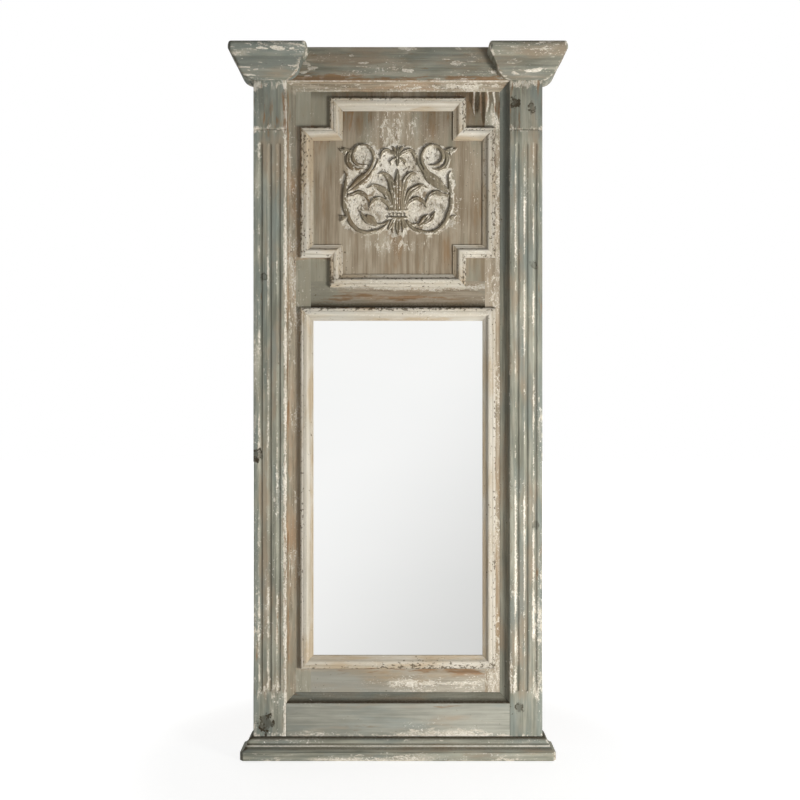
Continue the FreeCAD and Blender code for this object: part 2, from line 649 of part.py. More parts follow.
# Carving: every stem and leaf is a blade between two points, bent through a third.
# Points are shares of half the carving's width and of its height, on the right half.
# The last three are the blade's width at these points, as shares of half the carving's width.
SCROLL_SHARES = (
    # Outer stem: round the bottom, up the side and out to a thin tip
    ((0.160, 0.161), (0.235, 0.072), (0.400, 0.040), (0.050, 0.065, 0.070)),
    ((0.370, 0.043), (0.600, 0.046), (0.775, 0.136), (0.070, 0.070, 0.070)),
    ((0.765, 0.125), (0.868, 0.270), (0.910, 0.420), (0.070, 0.070, 0.062)),
    ((0.910, 0.405), (0.888, 0.500), (0.861, 0.600), (0.062, 0.056, 0.045)),
    ((0.862, 0.585), (0.868, 0.640), (0.906, 0.700), (0.045, 0.040, 0)),
    # Leaves inside the lower scroll and the arc over them
    ((0.175, 0.155), (0.275, 0.124), (0.400, 0.135), (0.030, 0.034, 0.045)),
    ((0.360, 0.125), (0.480, 0.195), (0.613, 0.260), (0.045, 0.125, 0)),
    ((0.420, 0.140), (0.560, 0.150), (0.690, 0.210), (0.040, 0.070, 0)),
    ((0.488, 0.373), (0.630, 0.462), (0.910, 0.420), (0, 0.063, 0.045)),
    # Slanting leaf that turns into the upper volute
    ((0.880, 0.495), (0.620, 0.592), (0.430, 0.725), (0.050, 0.125, 0.065)),
    ((0.445, 0.710), (0.355, 0.820), (0.400, 0.900), (0.065, 0.062, 0.060)),
    ((0.385, 0.880), (0.475, 0.965), (0.620, 0.985), (0.060, 0.060, 0.060)),
    ((0.590, 0.988), (0.720, 0.955), (0.750, 0.860), (0.060, 0.060, 0.060)),
    ((0.752, 0.880), (0.690, 0.782), (0.540, 0.760), (0.060, 0.060, 0.030)),
    # Leaf round the volute, corner leaf and side flower
    ((0.735, 0.930), (0.845, 0.850), (0.765, 0.700), (0.030, 0.060, 0.030)),
    ((0.770, 0.700), (0.700, 0.715), (0.600, 0.735), (0.040, 0.060, 0)),
    ((0.790, 0.910), (0.900, 0.965), (0.985, 0.965), (0.020, 0.060, 0)),
    ((0.900, 0.970), (0.955, 0.945), (0.930, 0.890), (0.030, 0.060, 0)),
    ((0.850, 0.215), (0.930, 0.212), (0.990, 0.222), (0.030, 0.050, 0)),
    ((0.850, 0.210), (0.910, 0.183), (0.945, 0.150), (0.030, 0.045, 0)),
)
PALMETTE_SHARES = (
    # Two curling leaves, a low arc and a side lobe of the pendant
    ((0.090, 0.290), (0.085, 0.490), (0.150, 0.650), (0.050, 0.100, 0.075)),
    ((0.120, 0.620), (0.215, 0.675), (0.332, 0.668), (0.070, 0.065, 0)),
    ((0.100, 0.290), (0.145, 0.440), (0.280, 0.528), (0.050, 0.090, 0.085)),
    ((0.240, 0.515), (0.390, 0.547), (0.523, 0.513), (0.070, 0.080, 0)),
    ((0.135, 0.280), (0.300, 0.408), (0.480, 0.305), (0.040, 0.056, 0)),
    ((0.060, 0.195), (0.125, 0.100), (0.140, 0.036), (0.040, 0.070, 0)),
)
PALMETTE_MIDDLE_SHARES = (
    # Bud, the two bands of the collar and the drop under them
    ((0, 0.200), (0, 0.560), (0, 0.732), (0.050, 0.140, 0)),
    ((-0.160, 0.274), (0, 0.269), (0.160, 0.274), (0.063, 0.063, 0.063)),
    ((-0.150, 0.202), (0, 0.196), (0.150, 0.202), (0.063, 0.063, 0.063)),
    ((0, 0.210), (0, 0.090), (0, 0), (0.050, 0.080, 0)),
)
CREST_SHARES = (
    # Drooping leaf and the small curl under it
    ((0.010, 0.845), (0.132, 0.905), (0.216, 0.930), (0.040, 0.055, 0.060)),
    ((0.200, 0.930), (0.270, 0.902), (0.304, 0.823), (0.060, 0.055, 0.025)),
    ((0, 0.835), (0.113, 0.803), (0.088, 0.762), (0.035, 0.038, 0)),
)
CREST_MIDDLE_SHARES = (
    ((0, 0.800), (0, 0.845), (0, 0.900), (0, 0.060, 0.030)),
    ((0, 0.875), (0, 0.945), (0, 1), (0.030, 0.070, 0)),
)
CARVING_HEIGHT = f"({ARM_HIGH_Z} - {ARM_LOW_Z} - (Sheet.mould_width + Sheet.carving_margin) * 2)"
CARVING_HALF_SHARE = 0.652
CARVING_HALF = f"({CARVING_HALF_SHARE} * {CARVING_HEIGHT})"
CARVING_LOW_Z = f"({ARM_LOW_Z} + Sheet.mould_width + Sheet.carving_margin + Sheet.carving_lift)"


def blade(points, widths, hand):
    """Solid leaf or stem: two arcs side by side, joined by a short edge where an end isn't pointed."""
    half = size(CARVING_HALF)
    tall = size(CARVING_HEIGHT)
    spine = [Vector(hand * x * half, 0, z * tall) for x, z in points]
    headings = (spine[1] - spine[0], spine[2] - spine[0], spine[2] - spine[1])
    rims = ([], [])
    for spot, heading, width in zip(spine, headings, widths):
        across = Vector(heading.z, 0, -heading.x).normalize() * (width * half / 2)
        rims[0].append(spot + across)
        rims[1].append(spot - across)
    edges = [Part.Arc(*rims[0]).toShape()]
    if widths[2]:
        edges.append(Part.LineSegment(rims[0][2], rims[1][2]).toShape())
    edges.append(Part.Arc(*reversed(rims[1])).toShape())
    if widths[0]:
        edges.append(Part.LineSegment(rims[1][0], rims[0][0]).toShape())
    face = Part.Face(Part.Wire(edges))
    return face.extrude(Vector(0, -size("Sheet.carving_thickness"), 0))


def blades(shares, hands):
    return [blade(row[:3], row[3], hand) for row in shares for hand in hands]


def carving(label, shape):
    item = doc.addObject("Part::Feature", label)
    item.Shape = shape
    place(item, "0", FIELD_Y, CARVING_LOW_Z)
    return keep(label, item)


def joined(solids):
    return solids[0].multiFuse(solids[1:]).removeSplitter()


palmette = joined(blades(PALMETTE_MIDDLE_SHARES, (1,)) + blades(PALMETTE_SHARES, (-1, 1)))
crest = joined(blades(CREST_MIDDLE_SHARES, (1,)) + blades(CREST_SHARES, (-1, 1)))
carving("carving_palmette", palmette)
carving("carving_crest", crest)
for side, hand in (("left", -1), ("right", 1)):
    carving(f"carving_scroll_{side}", joined(blades(SCROLL_SHARES, (hand,))).cut(palmette))

doc.recompute()
for item in doc.Objects:
    if "Invalid" in item.State or "Error" in item.State:
        raise RuntimeError(f"{item.Label} failed: {item.State}")
for label, item in nodes.items():
    if item.Shape.isNull() or not item.Shape.isValid():
        raise RuntimeError(f"{label} has no valid shape")

os.makedirs("parts", exist_ok=True)
for label, item in nodes.items():
    item.Shape.exportStep(f"parts/{label}.step")
    box = item.Shape.BoundBox
    print(label, len(item.Shape.Solids), round(item.Shape.Volume), box)
print(len(nodes), "nodes")
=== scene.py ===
# %% [markdown]
# # A worn pier mirror
#
# The real object is a tall wooden wall mirror: two fluted pilasters with moulded capitals, a carved
# panel above the glass and a moulded base, all in old paint that has worn through in layers. Its
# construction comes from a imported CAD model, so this lesson only adds finer shapes and finishes.
# Everything is in metres, +Z is up and the glass faces -Y.

# %% Load the frame
import math

import bmesh
import bpy
from mathutils import Color, Matrix, Vector


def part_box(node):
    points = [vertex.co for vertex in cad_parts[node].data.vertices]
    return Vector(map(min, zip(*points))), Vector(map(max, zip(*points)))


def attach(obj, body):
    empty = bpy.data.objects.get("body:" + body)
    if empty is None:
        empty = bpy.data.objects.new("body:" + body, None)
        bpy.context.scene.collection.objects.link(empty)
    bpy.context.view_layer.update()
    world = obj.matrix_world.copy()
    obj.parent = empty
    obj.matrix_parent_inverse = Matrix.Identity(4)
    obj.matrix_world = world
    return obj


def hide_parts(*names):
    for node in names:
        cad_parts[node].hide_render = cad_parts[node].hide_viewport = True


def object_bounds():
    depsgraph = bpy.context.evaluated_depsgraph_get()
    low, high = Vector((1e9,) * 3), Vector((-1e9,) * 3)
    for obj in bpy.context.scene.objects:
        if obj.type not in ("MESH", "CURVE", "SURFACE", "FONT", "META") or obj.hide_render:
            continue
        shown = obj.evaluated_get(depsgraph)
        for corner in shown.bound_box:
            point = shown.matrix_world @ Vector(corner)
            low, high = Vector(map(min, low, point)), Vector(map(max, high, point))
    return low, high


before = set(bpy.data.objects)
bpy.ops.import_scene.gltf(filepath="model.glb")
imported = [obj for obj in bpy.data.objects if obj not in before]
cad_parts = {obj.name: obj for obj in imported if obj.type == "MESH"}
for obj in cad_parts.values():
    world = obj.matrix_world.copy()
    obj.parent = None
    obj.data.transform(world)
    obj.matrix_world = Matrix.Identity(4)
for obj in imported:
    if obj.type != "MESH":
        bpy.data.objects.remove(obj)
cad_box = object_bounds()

scene = bpy.context.scene
scene.view_settings.view_transform = "Standard"
box_corners = [tuple(round(part, 3) for part in corner) for corner in cad_box]
print("frame:", len(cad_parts), "nodes, box", box_corners)

# %% [markdown]
# ## Measures from the frame
#
# The boards of the frame give the planes that every new piece is set against. The numbers could be typed
# in, but then a change in the CAD model would leave the new pieces behind. So they are read from the
# boxes of the nodes, and only sizes that no box shows, such as a flute's width, are named where they are
# first used.

# %% Planes and edges
face_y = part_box("pilaster_left")[0].y
field_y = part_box("upper_panel")[0].y
back_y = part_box("side_board_left")[1].y
front_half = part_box("pilaster_right")[1].x
recess_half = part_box("pilaster_right")[0].x
top_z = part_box("top_rail")[1].z
crown_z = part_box("top_rail")[0].z
rail_top_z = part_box("bottom_rail")[1].z
foot_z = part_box("base_front")[1].z
frame_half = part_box("mirror_mould_right")[1].x
mirror_low_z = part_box("mirror_mould_bottom")[0].z
mirror_high_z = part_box("mirror_mould_top")[1].z
panel_low_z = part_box("panel_mould_bottom")[0].z
panel_high_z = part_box("panel_mould_top")[1].z
arm_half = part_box("panel_mould_bottom")[1].x
arm_low_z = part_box("panel_mould_right")[0].z
arm_high_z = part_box("panel_mould_right")[1].z
print(f"face {face_y:.3f}, field {field_y:.3f}, back {back_y:.3f}, top {top_z:.3f}")

# %% [markdown]
# ## Camera
#
# The photograph was taken level and square on, from about two and a half metres, with its middle at half
# the mirror's height. A longer lens from further off would show the same outline, but less of the
# underside of the capitals. So a normal lens at that distance is used.

# %% Camera
CAMERA_DISTANCE = 2.5
CAMERA_HEIGHT = 0.8547
CAMERA_ASIDE = 0.005
LENS = 47.0
SENSOR_WIDTH = 36.0

camera_data = bpy.data.cameras.new("camera")
camera_data.lens = LENS
camera_data.sensor_width = SENSOR_WIDTH
camera = bpy.data.objects.new("camera", camera_data)
camera.location = (CAMERA_ASIDE, face_y - CAMERA_DISTANCE, CAMERA_HEIGHT)
camera.rotation_euler = (math.radians(90), 0, 0)
scene.collection.objects.link(camera)
scene.camera = camera
print("camera at", tuple(round(c, 3) for c in camera.location))

# %% [markdown]
# ## Node maths
#
# Layers of worn paint are mostly sums: this patch where that noise is high, less of it near there. The
# Math nodes could be placed and joined one by one, but a sum is easier to read and to change. So a small
# class wraps a socket and lets such sums be written as ordinary Python.


# %% A socket that can be used in sums
class Wire:
    """One output socket of a finish. Sums with numbers or other wires add Math nodes."""

    def __init__(self, finish, socket):
        self.finish = finish
        self.socket = socket

    def sum(self, operation, first, second):
        return self.finish.node("ShaderNodeMath", {"operation": operation}, {0: first, 1: second})

    def __add__(self, other):
        return self.sum("ADD", self, other)

    def __radd__(self, other):
        return self.sum("ADD", other, self)

    def __sub__(self, other):
        return self.sum("SUBTRACT", self, other)

    def __rsub__(self, other):
        return self.sum("SUBTRACT", other, self)

    def __mul__(self, other):
        return self.sum("MULTIPLY", self, other)

    def __rmul__(self, other):
        return self.sum("MULTIPLY", other, self)

    def __truediv__(self, other):
        return self.sum("DIVIDE", self, other)

    def __mod__(self, other):
        return self.sum("FLOORED_MODULO", self, other)

    def __abs__(self):
        return self.sum("ABSOLUTE", self, 0.0)

    def least(self, other):
        return self.sum("MINIMUM", self, other)

    def most(self, other):
        return self.sum("MAXIMUM", self, other)


print("wires ready")

# %% [markdown]
# ## A finish made of nodes
#
# A material is a tree of nodes that ends in one shader. It could be wired by hand in the editor, but the
# same few patterns come back in every finish. So one class holds the tree, makes any node from its type,
# settings and sockets, and has a short method for each pattern that is used often.


# %% A finish that grows from nodes
class Finish:
    """A material with a few ready patterns. Other nodes come from the one method node()."""

    def __init__(self, name):
        self.material = bpy.data.materials.new(name)
        self.material.use_nodes = True
        self.tree = self.material.node_tree
        self.shader = self.tree.nodes["Principled BSDF"]

    def node(self, kind, settings=(), sockets=(), output=0):
        made = self.tree.nodes.new(kind)
        for key, value in dict(settings).items():
            setattr(made, key, value)
        for key, value in dict(sockets).items():
            if isinstance(value, Wire):
                self.tree.links.new(value.socket, made.inputs[key])
            else:
                made.inputs[key].default_value = value
        return Wire(self, made.outputs[output])

    def connect(self, name, value):
        self.tree.links.new(value.socket, self.shader.inputs[name])

    def spot(self):
        return self.node("ShaderNodeTexCoord", output="Object")

    def parts(self, vector):
        return [self.node("ShaderNodeSeparateXYZ", (), {0: vector}, axis) for axis in range(3)]

    def vector(self, x, y, z):
        return self.node("ShaderNodeCombineXYZ", (), {0: x, 1: y, 2: z})

    def stretched(self, vector, factors):
        return self.node("ShaderNodeVectorMath", {"operation": "MULTIPLY"}, {0: vector, 1: factors})

    def length(self, vector):
        return self.node("ShaderNodeVectorMath", {"operation": "LENGTH"}, {0: vector}, "Value")

    def noise(self, vector, detail=4.0, roughness=0.55, seed=0.0):
        """Cloudy values round 0.5. Another seed gives another cloud."""
        sockets = {"Vector": vector, "W": seed, "Scale": 1.0, "Detail": detail, "Roughness": roughness}
        return self.node("ShaderNodeTexNoise", {"noise_dimensions": "4D"}, sockets)

    def rise(self, value, low, high):
        """0 below low, 1 above high, smooth between. With low above high it falls instead."""
        sockets = {"Value": value, "From Min": low, "From Max": high}
        return self.node("ShaderNodeMapRange", {"interpolation_type": "SMOOTHSTEP"}, sockets)

    def near(self, value, place, reach):
        """1 at a place on a scale, falling to 0 at the reach on both sides."""
        return 1.0 - self.rise(abs(value - place), 0.0, reach)

    def mixed(self, share, under, over):
        settings = {"data_type": "RGBA"}
        return self.node("ShaderNodeMix", settings, {0: share, 6: under, 7: over}, 2)

    def bump(self, height, distance, strength):
        sockets = {"Height": height, "Distance": distance, "Strength": strength}
        self.connect("Normal", self.node("ShaderNodeBump", (), sockets))


print("finish class ready")

# %% [markdown]
# ## Colours of the paint
#
# The real finish was built up and rubbed back: bare softwood, a cream undercoat, a grey-green or brown
# top coat and dirt in the hollows. The dark colour of the dirt also serves as painted shade. Old paint is
# never one colour, so each top coat has a dark, a light, a warm and a cool tone. They could be typed in
# as the renderer's light values, but those are hard to picture. So they are written as they look on
# screen, and turned into light values in one place.


# %% Colours of the paint
def colour(red, green, blue):
    """A colour as it looks on screen, 0 to 255, in the renderer's light values."""
    return (*Color((red / 255, green / 255, blue / 255)).from_srgb_to_scene_linear(), 1.0)


def tones(*shades):
    return [colour(*shade) for shade in shades]


UNDERCOAT = tones((190, 180, 160), (215, 207, 192))
BARE_WOOD = tones((116, 86, 58), (158, 122, 86))
RAW_WOOD = tones((150, 117, 80), (190, 156, 114))
FLAKE = colour(229, 223, 210)
PIT = colour(84, 72, 54)
# Dirt, and also painted shade in hollows, in shadow lines and on faces turned from the lamp
DIRT_AND_SHADE = colour(62, 55, 43)
# Each top coat as its dark, light, warm and cool tone
TAUPE_COAT = tones((138, 124, 104), (178, 166, 147), (152, 130, 102), (146, 148, 133))
GREY_COAT = tones((118, 118, 105), (164, 162, 146), (152, 136, 115), (124, 133, 128))
PALE_COAT = tones((144, 144, 132), (173, 171, 158), (170, 156, 136), (148, 155, 149))
BROWN_COAT = tones((132, 117, 96), (166, 154, 134), (138, 110, 79), (142, 143, 127))
COVE_COAT = tones((122, 110, 90), (182, 169, 148), (172, 140, 108), (130, 131, 117))
WARM_COAT = tones((146, 138, 122), (179, 171, 155), (168, 147, 118), (153, 154, 145))
CREAM_COAT = tones((196, 186, 167), (216, 209, 195), (188, 167, 136), (200, 196, 183))
CARVED_COAT = tones((104, 94, 76), (148, 137, 116), (126, 106, 80), (134, 131, 116))
print("cream in light values", [round(part, 3) for part in UNDERCOAT[1]])

# %% [markdown]
# ## Patterns along the grain
#
# Paint on wood wears along the grain, so most patterns are noise that is drawn out along the board. They
# could be painted on an image, but noise stays sharp at any distance and needs no unwrapping. A table
# names every pattern, and each finish makes only the ones that it asks for.

# %% Patterns along the grain
# Features to the metre along and across the grain, seed and detail
PATTERNS = {
    "streaks": (2.5, 95.0, 1, 4.0),
    "specks": (230.0, 420.0, 2, 4.0),
    "blotches": (9.0, 45.0, 3, 4.0),
    "warm": (6.0, 26.0, 4, 4.0),
    "cool": (4.0, 18.0, 5, 4.0),
    "clouds": (7.0, 22.0, 6, 4.0),
    "haze": (12.0, 75.0, 7, 4.0),
    "chips": (45.0, 150.0, 8, 4.0),
    "scrapes": (22.0, 130.0, 9, 4.0),
    "scraped_parts": (5.0, 20.0, 10, 4.0),
    "wide": (4.0, 9.0, 12, 4.0),
    "flakes": (95.0, 160.0, 13, 2.0),
    "sway": (20.0, 45.0, 15, 4.0),
    "pits": (130.0, 190.0, 19, 2.0),
    "waves": (14.0, 38.0, 22, 4.0),
    "rubbing": (7.0, 12.0, 23, 4.0),
    "breaks": (14.0, 30.0, 24, 4.0),
    "stains": (6.0, 34.0, 25, 4.0),
    "fibres": (9.0, 210.0, 26, 2.0),
    "flecks": (210.0, 300.0, 29, 2.0),
    "smears": (16.0, 55.0, 31, 2.0),
}
print("patterns:", len(PATTERNS))

# %% [markdown]
# ## A finish along the grain
#
# On a board every pattern runs with the grain, so a finish has to know which way its board lies. The
# coordinates could be turned with a Mapping node in each material. It is shorter to put x, y and z in
# another order once, so that the first always runs along the grain. The same class makes the masks that
# say where a layer shows.

# %% A finish along the grain
PATTERN_ROUGHNESS = 0.6
GRAIN_ORDER = {"x": (0, 2, 1), "y": (1, 2, 0), "z": (2, 0, 1)}
# A mask is on where its pattern, plus the wanted share times the gain, passes the level
COVER_GAIN = 0.4
COVER_LEVEL = 0.70


class Grained(Finish):
    """A finish on wood, with patterns drawn out along one axis and masks made from them."""

    def __init__(self, name, along):
        super().__init__(name)
        self.place = self.spot()
        self.xyz = self.parts(self.place)
        self.run = self.vector(*[self.xyz[axis] for axis in GRAIN_ORDER[along]])
        self.drawn = {}

    def pattern(self, name):
        """One of PATTERNS, made when it is first asked for."""
        if name not in self.drawn:
            along, across, seed, detail = PATTERNS[name]
            stretched = self.stretched(self.run, (along, across, across))
            self.drawn[name] = self.noise(stretched, detail, PATTERN_ROUGHNESS, seed)
        return self.drawn[name]

    def blend(self, shares):
        """Several patterns as one, each with its share."""
        total = 0.0
        for name, share in shares.items():
            total = self.pattern(name) * share + total
        return total

    def cover(self, field, share, soft):
        """Mask that covers about the given share, 0 to 1, of the surface."""
        return self.rise(field + share * COVER_GAIN, COVER_LEVEL - soft, COVER_LEVEL + soft)

    def bands(self, places, level=None):
        """Masks of level bands, given as height and reach, or as height, reach, x and reach in x."""
        level = level or self.xyz[2]
        masks = {}
        for name, (height, reach, *part) in dict(places).items():
            masks[name] = self.near(level, height, reach)
            if part:
                masks[name] = masks[name] * self.near(self.xyz[0], *part)
        return masks

    def facing(self):
        """The three parts of the direction in which the surface looks."""
        return self.parts(self.node("ShaderNodeTexCoord", output="Normal"))

    def carried(self, name):
        """A value that the mesh carries on its points."""
        return self.node("ShaderNodeAttribute", {"attribute_name": name}, (), "Fac")


print("grain can run along", ", ".join(GRAIN_ORDER))

# %% [markdown]
# ## Layers of worn paint
#
# On the real mirror the years took the coats off bit by bit: tones of the top coat, a haze and chips of
# cream where it was rubbed, small pale flakes, scrapes down to the wood, and pits. Each could be a
# material of its own, mixed by shaders. A table of layers is shorter: how soft a layer's edge is, how
# strongly it covers, and which patterns it follows.

# %% Layers of worn paint
SHADE_PATTERNS = {"streaks": 0.28, "blotches": 0.24, "wide": 0.24, "fibres": 0.24}
# Softness of each layer's edge, its strength, and the patterns that it follows
LAYERS = {
    "warm": (0.09, 0.75, {"warm": 1.0}),
    "cool": (0.09, 0.60, {"cool": 1.0}),
    "haze": (0.07, 0.45, {"haze": 0.6, "clouds": 0.4}),
    "chips": (0.02, 0.90, {"chips": 0.5, "clouds": 0.35, "specks": 0.15}),
    "flakes": (0.012, 1.0, {"flakes": 0.6, "clouds": 0.4}),
    "flecks": (0.02, 0.70, {"flecks": 0.6, "clouds": 0.4}),
    "scrapes": (0.05, 0.80, {"scrapes": 0.55, "scraped_parts": 0.45}),
    "pits": (0.02, 0.80, {"pits": 0.8, "wide": 0.2}),
}
print("layers:", ", ".join(LAYERS))

# %% [markdown]
# ## Bare wood at the back
#
# Nobody paints the side that faces the wall, so there such a mirror shows bare softwood. It could have a
# material of its own, but the boards run from front to back in one piece. So a mask by depth leaves the
# coats off where a board lies behind the field or touches the wall.

# %% Bare wood at the back
BARE_START = 0.003
BARE_BLEND = 0.002
WALL_SKIN = 0.001


def unpainted(paint):
    """The back: behind the field between the side boards, and the faces that touch the wall."""
    x, y, _ = paint.xyz
    behind = paint.rise(y, field_y + BARE_START, field_y + BARE_START + BARE_BLEND)
    within = paint.rise(abs(x), front_half - BARE_START, front_half - BARE_START - BARE_BLEND / 2)
    return (behind * within).most(paint.rise(y, back_y - WALL_SKIN, back_y - WALL_SKIN * 0.4))


print(f"bare wood starts {BARE_START * 1000:.0f} mm behind the field")

# %% [markdown]
# ## Masks of the layers
#
# Where a coat was rubbed, haze, chips, flakes and flecks of cream come together. A look could set the
# share of each, but then they would have to be kept in step by hand. So a look gives one share of cream,
# which is divided among the four here, and every layer gets its mask.

# %% Masks of the layers
CHIP_EXTRA = 0.06
FLAKE_SHARE = 0.6
FLECK_SHARE = 0.75
FLECK_EXTRA = 0.05


def layer_masks(paint, cream, wood, warm, cool, pits):
    """Where each layer shows. Each value is about the share of the surface that its layer covers."""
    shares = {
        "warm": warm, "cool": cool, "haze": cream + CHIP_EXTRA, "chips": cream + CHIP_EXTRA, "pits": pits,
        "flakes": cream * FLAKE_SHARE, "flecks": cream * FLECK_SHARE + FLECK_EXTRA, "scrapes": wood,
    }
    return {
        name: paint.cover(paint.blend(patterns), shares[name], soft)
        for name, (soft, _, patterns) in LAYERS.items()
    }


print(f"flakes take {FLAKE_SHARE} and flecks {FLECK_SHARE} of the cream")

# %% [markdown]
# ## Laying the coats
#
# A painter works from the wood up, and each coat hides part of the one below. Every coat could be a
# shader of its own, but all of them are matt paint or wood. So only colours are mixed, one loop over
# pairs of mask and colour, and grime with painted shade and bare wood come last. The same masks raise
# or sink the surface a little.

# %% Laying the coats
# Where a pattern turns from its first tone to its second
TONE_EDGE = (0.41, 0.59)
SPECK_EDGE = (0.36, 0.64)
GRAIN_EDGE = (0.3, 0.7)
# Grime with painted shade, gloss and relief
SPECK_DIRT_AND_SHADE = 0.55
PAINT_ROUGHNESS = 0.88
CHIP_GLOSS = 0.12
STREAK_GLOSS = 0.10
CHALKY_SPECULAR = 0.25
GROUND_RELIEF = {"streaks": 0.5, "specks": 0.3}
LAYER_RELIEF = {"flakes": 0.3, "chips": -0.3, "scrapes": -0.3, "pits": -0.4}
RELIEF_DEPTH = 0.0012
RELIEF_STRENGTH = 0.6


def lay_coats(paint, coat, mask, dirt_and_shade):
    """Lay all layers by their masks, and dirt with painted shade over them."""
    dark, light, warm_tone, cool_tone = coat
    laid = {name: mask[name] * strength for name, (_, strength, _) in LAYERS.items()}
    streaks, specks = paint.pattern("streaks"), paint.pattern("specks")
    grain = paint.rise(streaks, *GRAIN_EDGE)
    undercoat = paint.mixed(paint.rise(specks, *SPECK_EDGE), *UNDERCOAT)
    top = paint.mixed(paint.rise(paint.blend(SHADE_PATTERNS), *TONE_EDGE), dark, light)
    for where, over in (
        (laid["warm"], warm_tone),
        (laid["cool"], cool_tone),
        (laid["haze"], undercoat),
        (laid["chips"], undercoat),
        (laid["flakes"].most(laid["flecks"]), FLAKE),
        (laid["scrapes"], paint.mixed(grain, *BARE_WOOD)),
        (laid["pits"], PIT),
        # Dirt and painted shade, broken by specks
        ((dirt_and_shade * (specks + SPECK_DIRT_AND_SHADE)).least(1.0), DIRT_AND_SHADE),
        (unpainted(paint), paint.mixed(grain, *RAW_WOOD)),
    ):
        top = paint.mixed(where, top, over)
    paint.connect("Base Color", top)
    gloss = mask["chips"] * CHIP_GLOSS + streaks * STREAK_GLOSS
    paint.connect("Roughness", PAINT_ROUGHNESS - gloss)
    paint.shader.inputs["Specular IOR Level"].default_value = CHALKY_SPECULAR
    height = paint.blend(GROUND_RELIEF)
    for name, share in LAYER_RELIEF.items():
        height = mask[name] * share + height
    paint.bump(height, RELIEF_DEPTH, RELIEF_STRENGTH)


print(f"bump depth of the layers: {RELIEF_DEPTH * 1000:.1f} mm")

# %% [markdown]
# ## Wear as a table
#
# A restorer would note wear as a list: here the edge is rubbed to cream, there dirt sits in the hollow.
# The paint is written the same way. A finish makes masks for its places, and a table says how much more
# of each layer shows inside each mask. So a look is changed in the table, without touching any sums.

# %% Wear as a table
# The dirt in these tables also carries painted shade
WORN_LAYERS = ("cream", "wood", "dirt_and_shade", "warm", "cool", "pits")


def finished(paint, coat, masks, *tables):
    """Lay the coats with what the wear tables give to every mask, and to the whole surface."""
    shares = dict.fromkeys(WORN_LAYERS, 0.0)
    for table in tables:
        for place, layers in table.items():
            mask = 1.0 if place == "everywhere" else masks[place]
            for layer, extra in layers.items():
                shares[layer] = mask * extra + shares[layer]
    dirt_and_shade = shares.pop("dirt_and_shade")
    lay_coats(paint, coat, layer_masks(paint, **shares), dirt_and_shade)
    return paint.material


print("wear is given for", ", ".join(WORN_LAYERS))

# %% [markdown]
# ## Knots in the pilasters
#
# Softwood has knots, and here their resin has come through the paint as dark blots. A knot could be cut
# into the mesh, but it lies flush with the board. So it is drawn by its distance from a point, with a
# ragged edge so that it doesn't look like a button.

# %% Knots
# Each knot as (x, z, reach, strength)
KNOTS = (
    (-0.316, 0.080, 0.020, 1.0), (0.290, 0.118, 0.012, 0.8),
    (0.279, 1.566, 0.012, 1.0), (0.320, 1.554, 0.010, 0.7),
    (-0.336, 0.723, 0.013, 0.9), (0.325, 1.178, 0.009, 0.6),
    (0.330, 0.555, 0.009, 0.6), (-0.320, 1.149, 0.009, 0.6),
)
KNOT_SQUASH = 0.8
# A noise as its stretch, and its detail, roughness and seed
KNOT_EDGE_SCALE = (80.0, 0.0, 80.0)
KNOT_EDGE_NOISE = (3.0, 0.6, 11)
KNOT_BREAK_SCALE = (70.0, 0.0, 70.0)
KNOT_BREAK_NOISE = (2.0, 0.5, 21)
KNOT_BREAK_EDGE = (0.38, 0.52)
# Blotch and rim by the distance from the middle, as shares of the reach
BLOTCH_EDGE = (1.0, 0.4)
BLOTCH_RAGGED = 3.4
BLOTCH_STRENGTH = 0.7
RIM_PLACE = (0.75, 0.35)
RIM_RAGGED = 2.6


def knots(paint):
    """Dark ragged knots on the front: a blotch inside a broken rim."""
    x, _, z = paint.xyz
    ragged = paint.noise(paint.stretched(paint.place, KNOT_EDGE_SCALE), *KNOT_EDGE_NOISE) - 0.5
    breaks = paint.noise(paint.stretched(paint.place, KNOT_BREAK_SCALE), *KNOT_BREAK_NOISE)
    broken = paint.rise(breaks, *KNOT_BREAK_EDGE)
    found = 0.0
    for knot_x, knot_z, reach, strength in KNOTS:
        away = paint.length(paint.vector(x - knot_x, 0.0, (z - knot_z) * KNOT_SQUASH)) / reach
        blotch = paint.rise(away + ragged * BLOTCH_RAGGED, *BLOTCH_EDGE) * BLOTCH_STRENGTH
        rim = paint.near(away + ragged * RIM_RAGGED, *RIM_PLACE) * broken
        found = (blotch + rim) * strength + found
    return found


print("knots:", len(KNOTS))

# %% [markdown]
# ## Flutes of the pilasters
#
# Each pilaster has three flutes, narrow upright grooves that stop short of both ends, and a neck line
# above them. Their sizes are needed twice, by the paint now and by the cutter later. They could be
# measured on the finished mesh, but named values are there before it is.

# %% Flutes of the pilasters
FLUTE_WIDTH = 0.011
FLUTE_DEPTH = 0.0035
FLUTE_PITCH = 0.0215
FLUTE_COUNT = 3
FLUTE_FOOT = 0.028
FLUTE_HEAD = 0.150
NECK_DROP = 0.117
pilaster_middle = (front_half + recess_half) / 2
fluted_half = FLUTE_PITCH * FLUTE_COUNT / 2
flute_low_z = rail_top_z + FLUTE_FOOT
flute_high_z = crown_z - FLUTE_HEAD
print(f"flutes from height {flute_low_z:.3f} to {flute_high_z:.3f}")
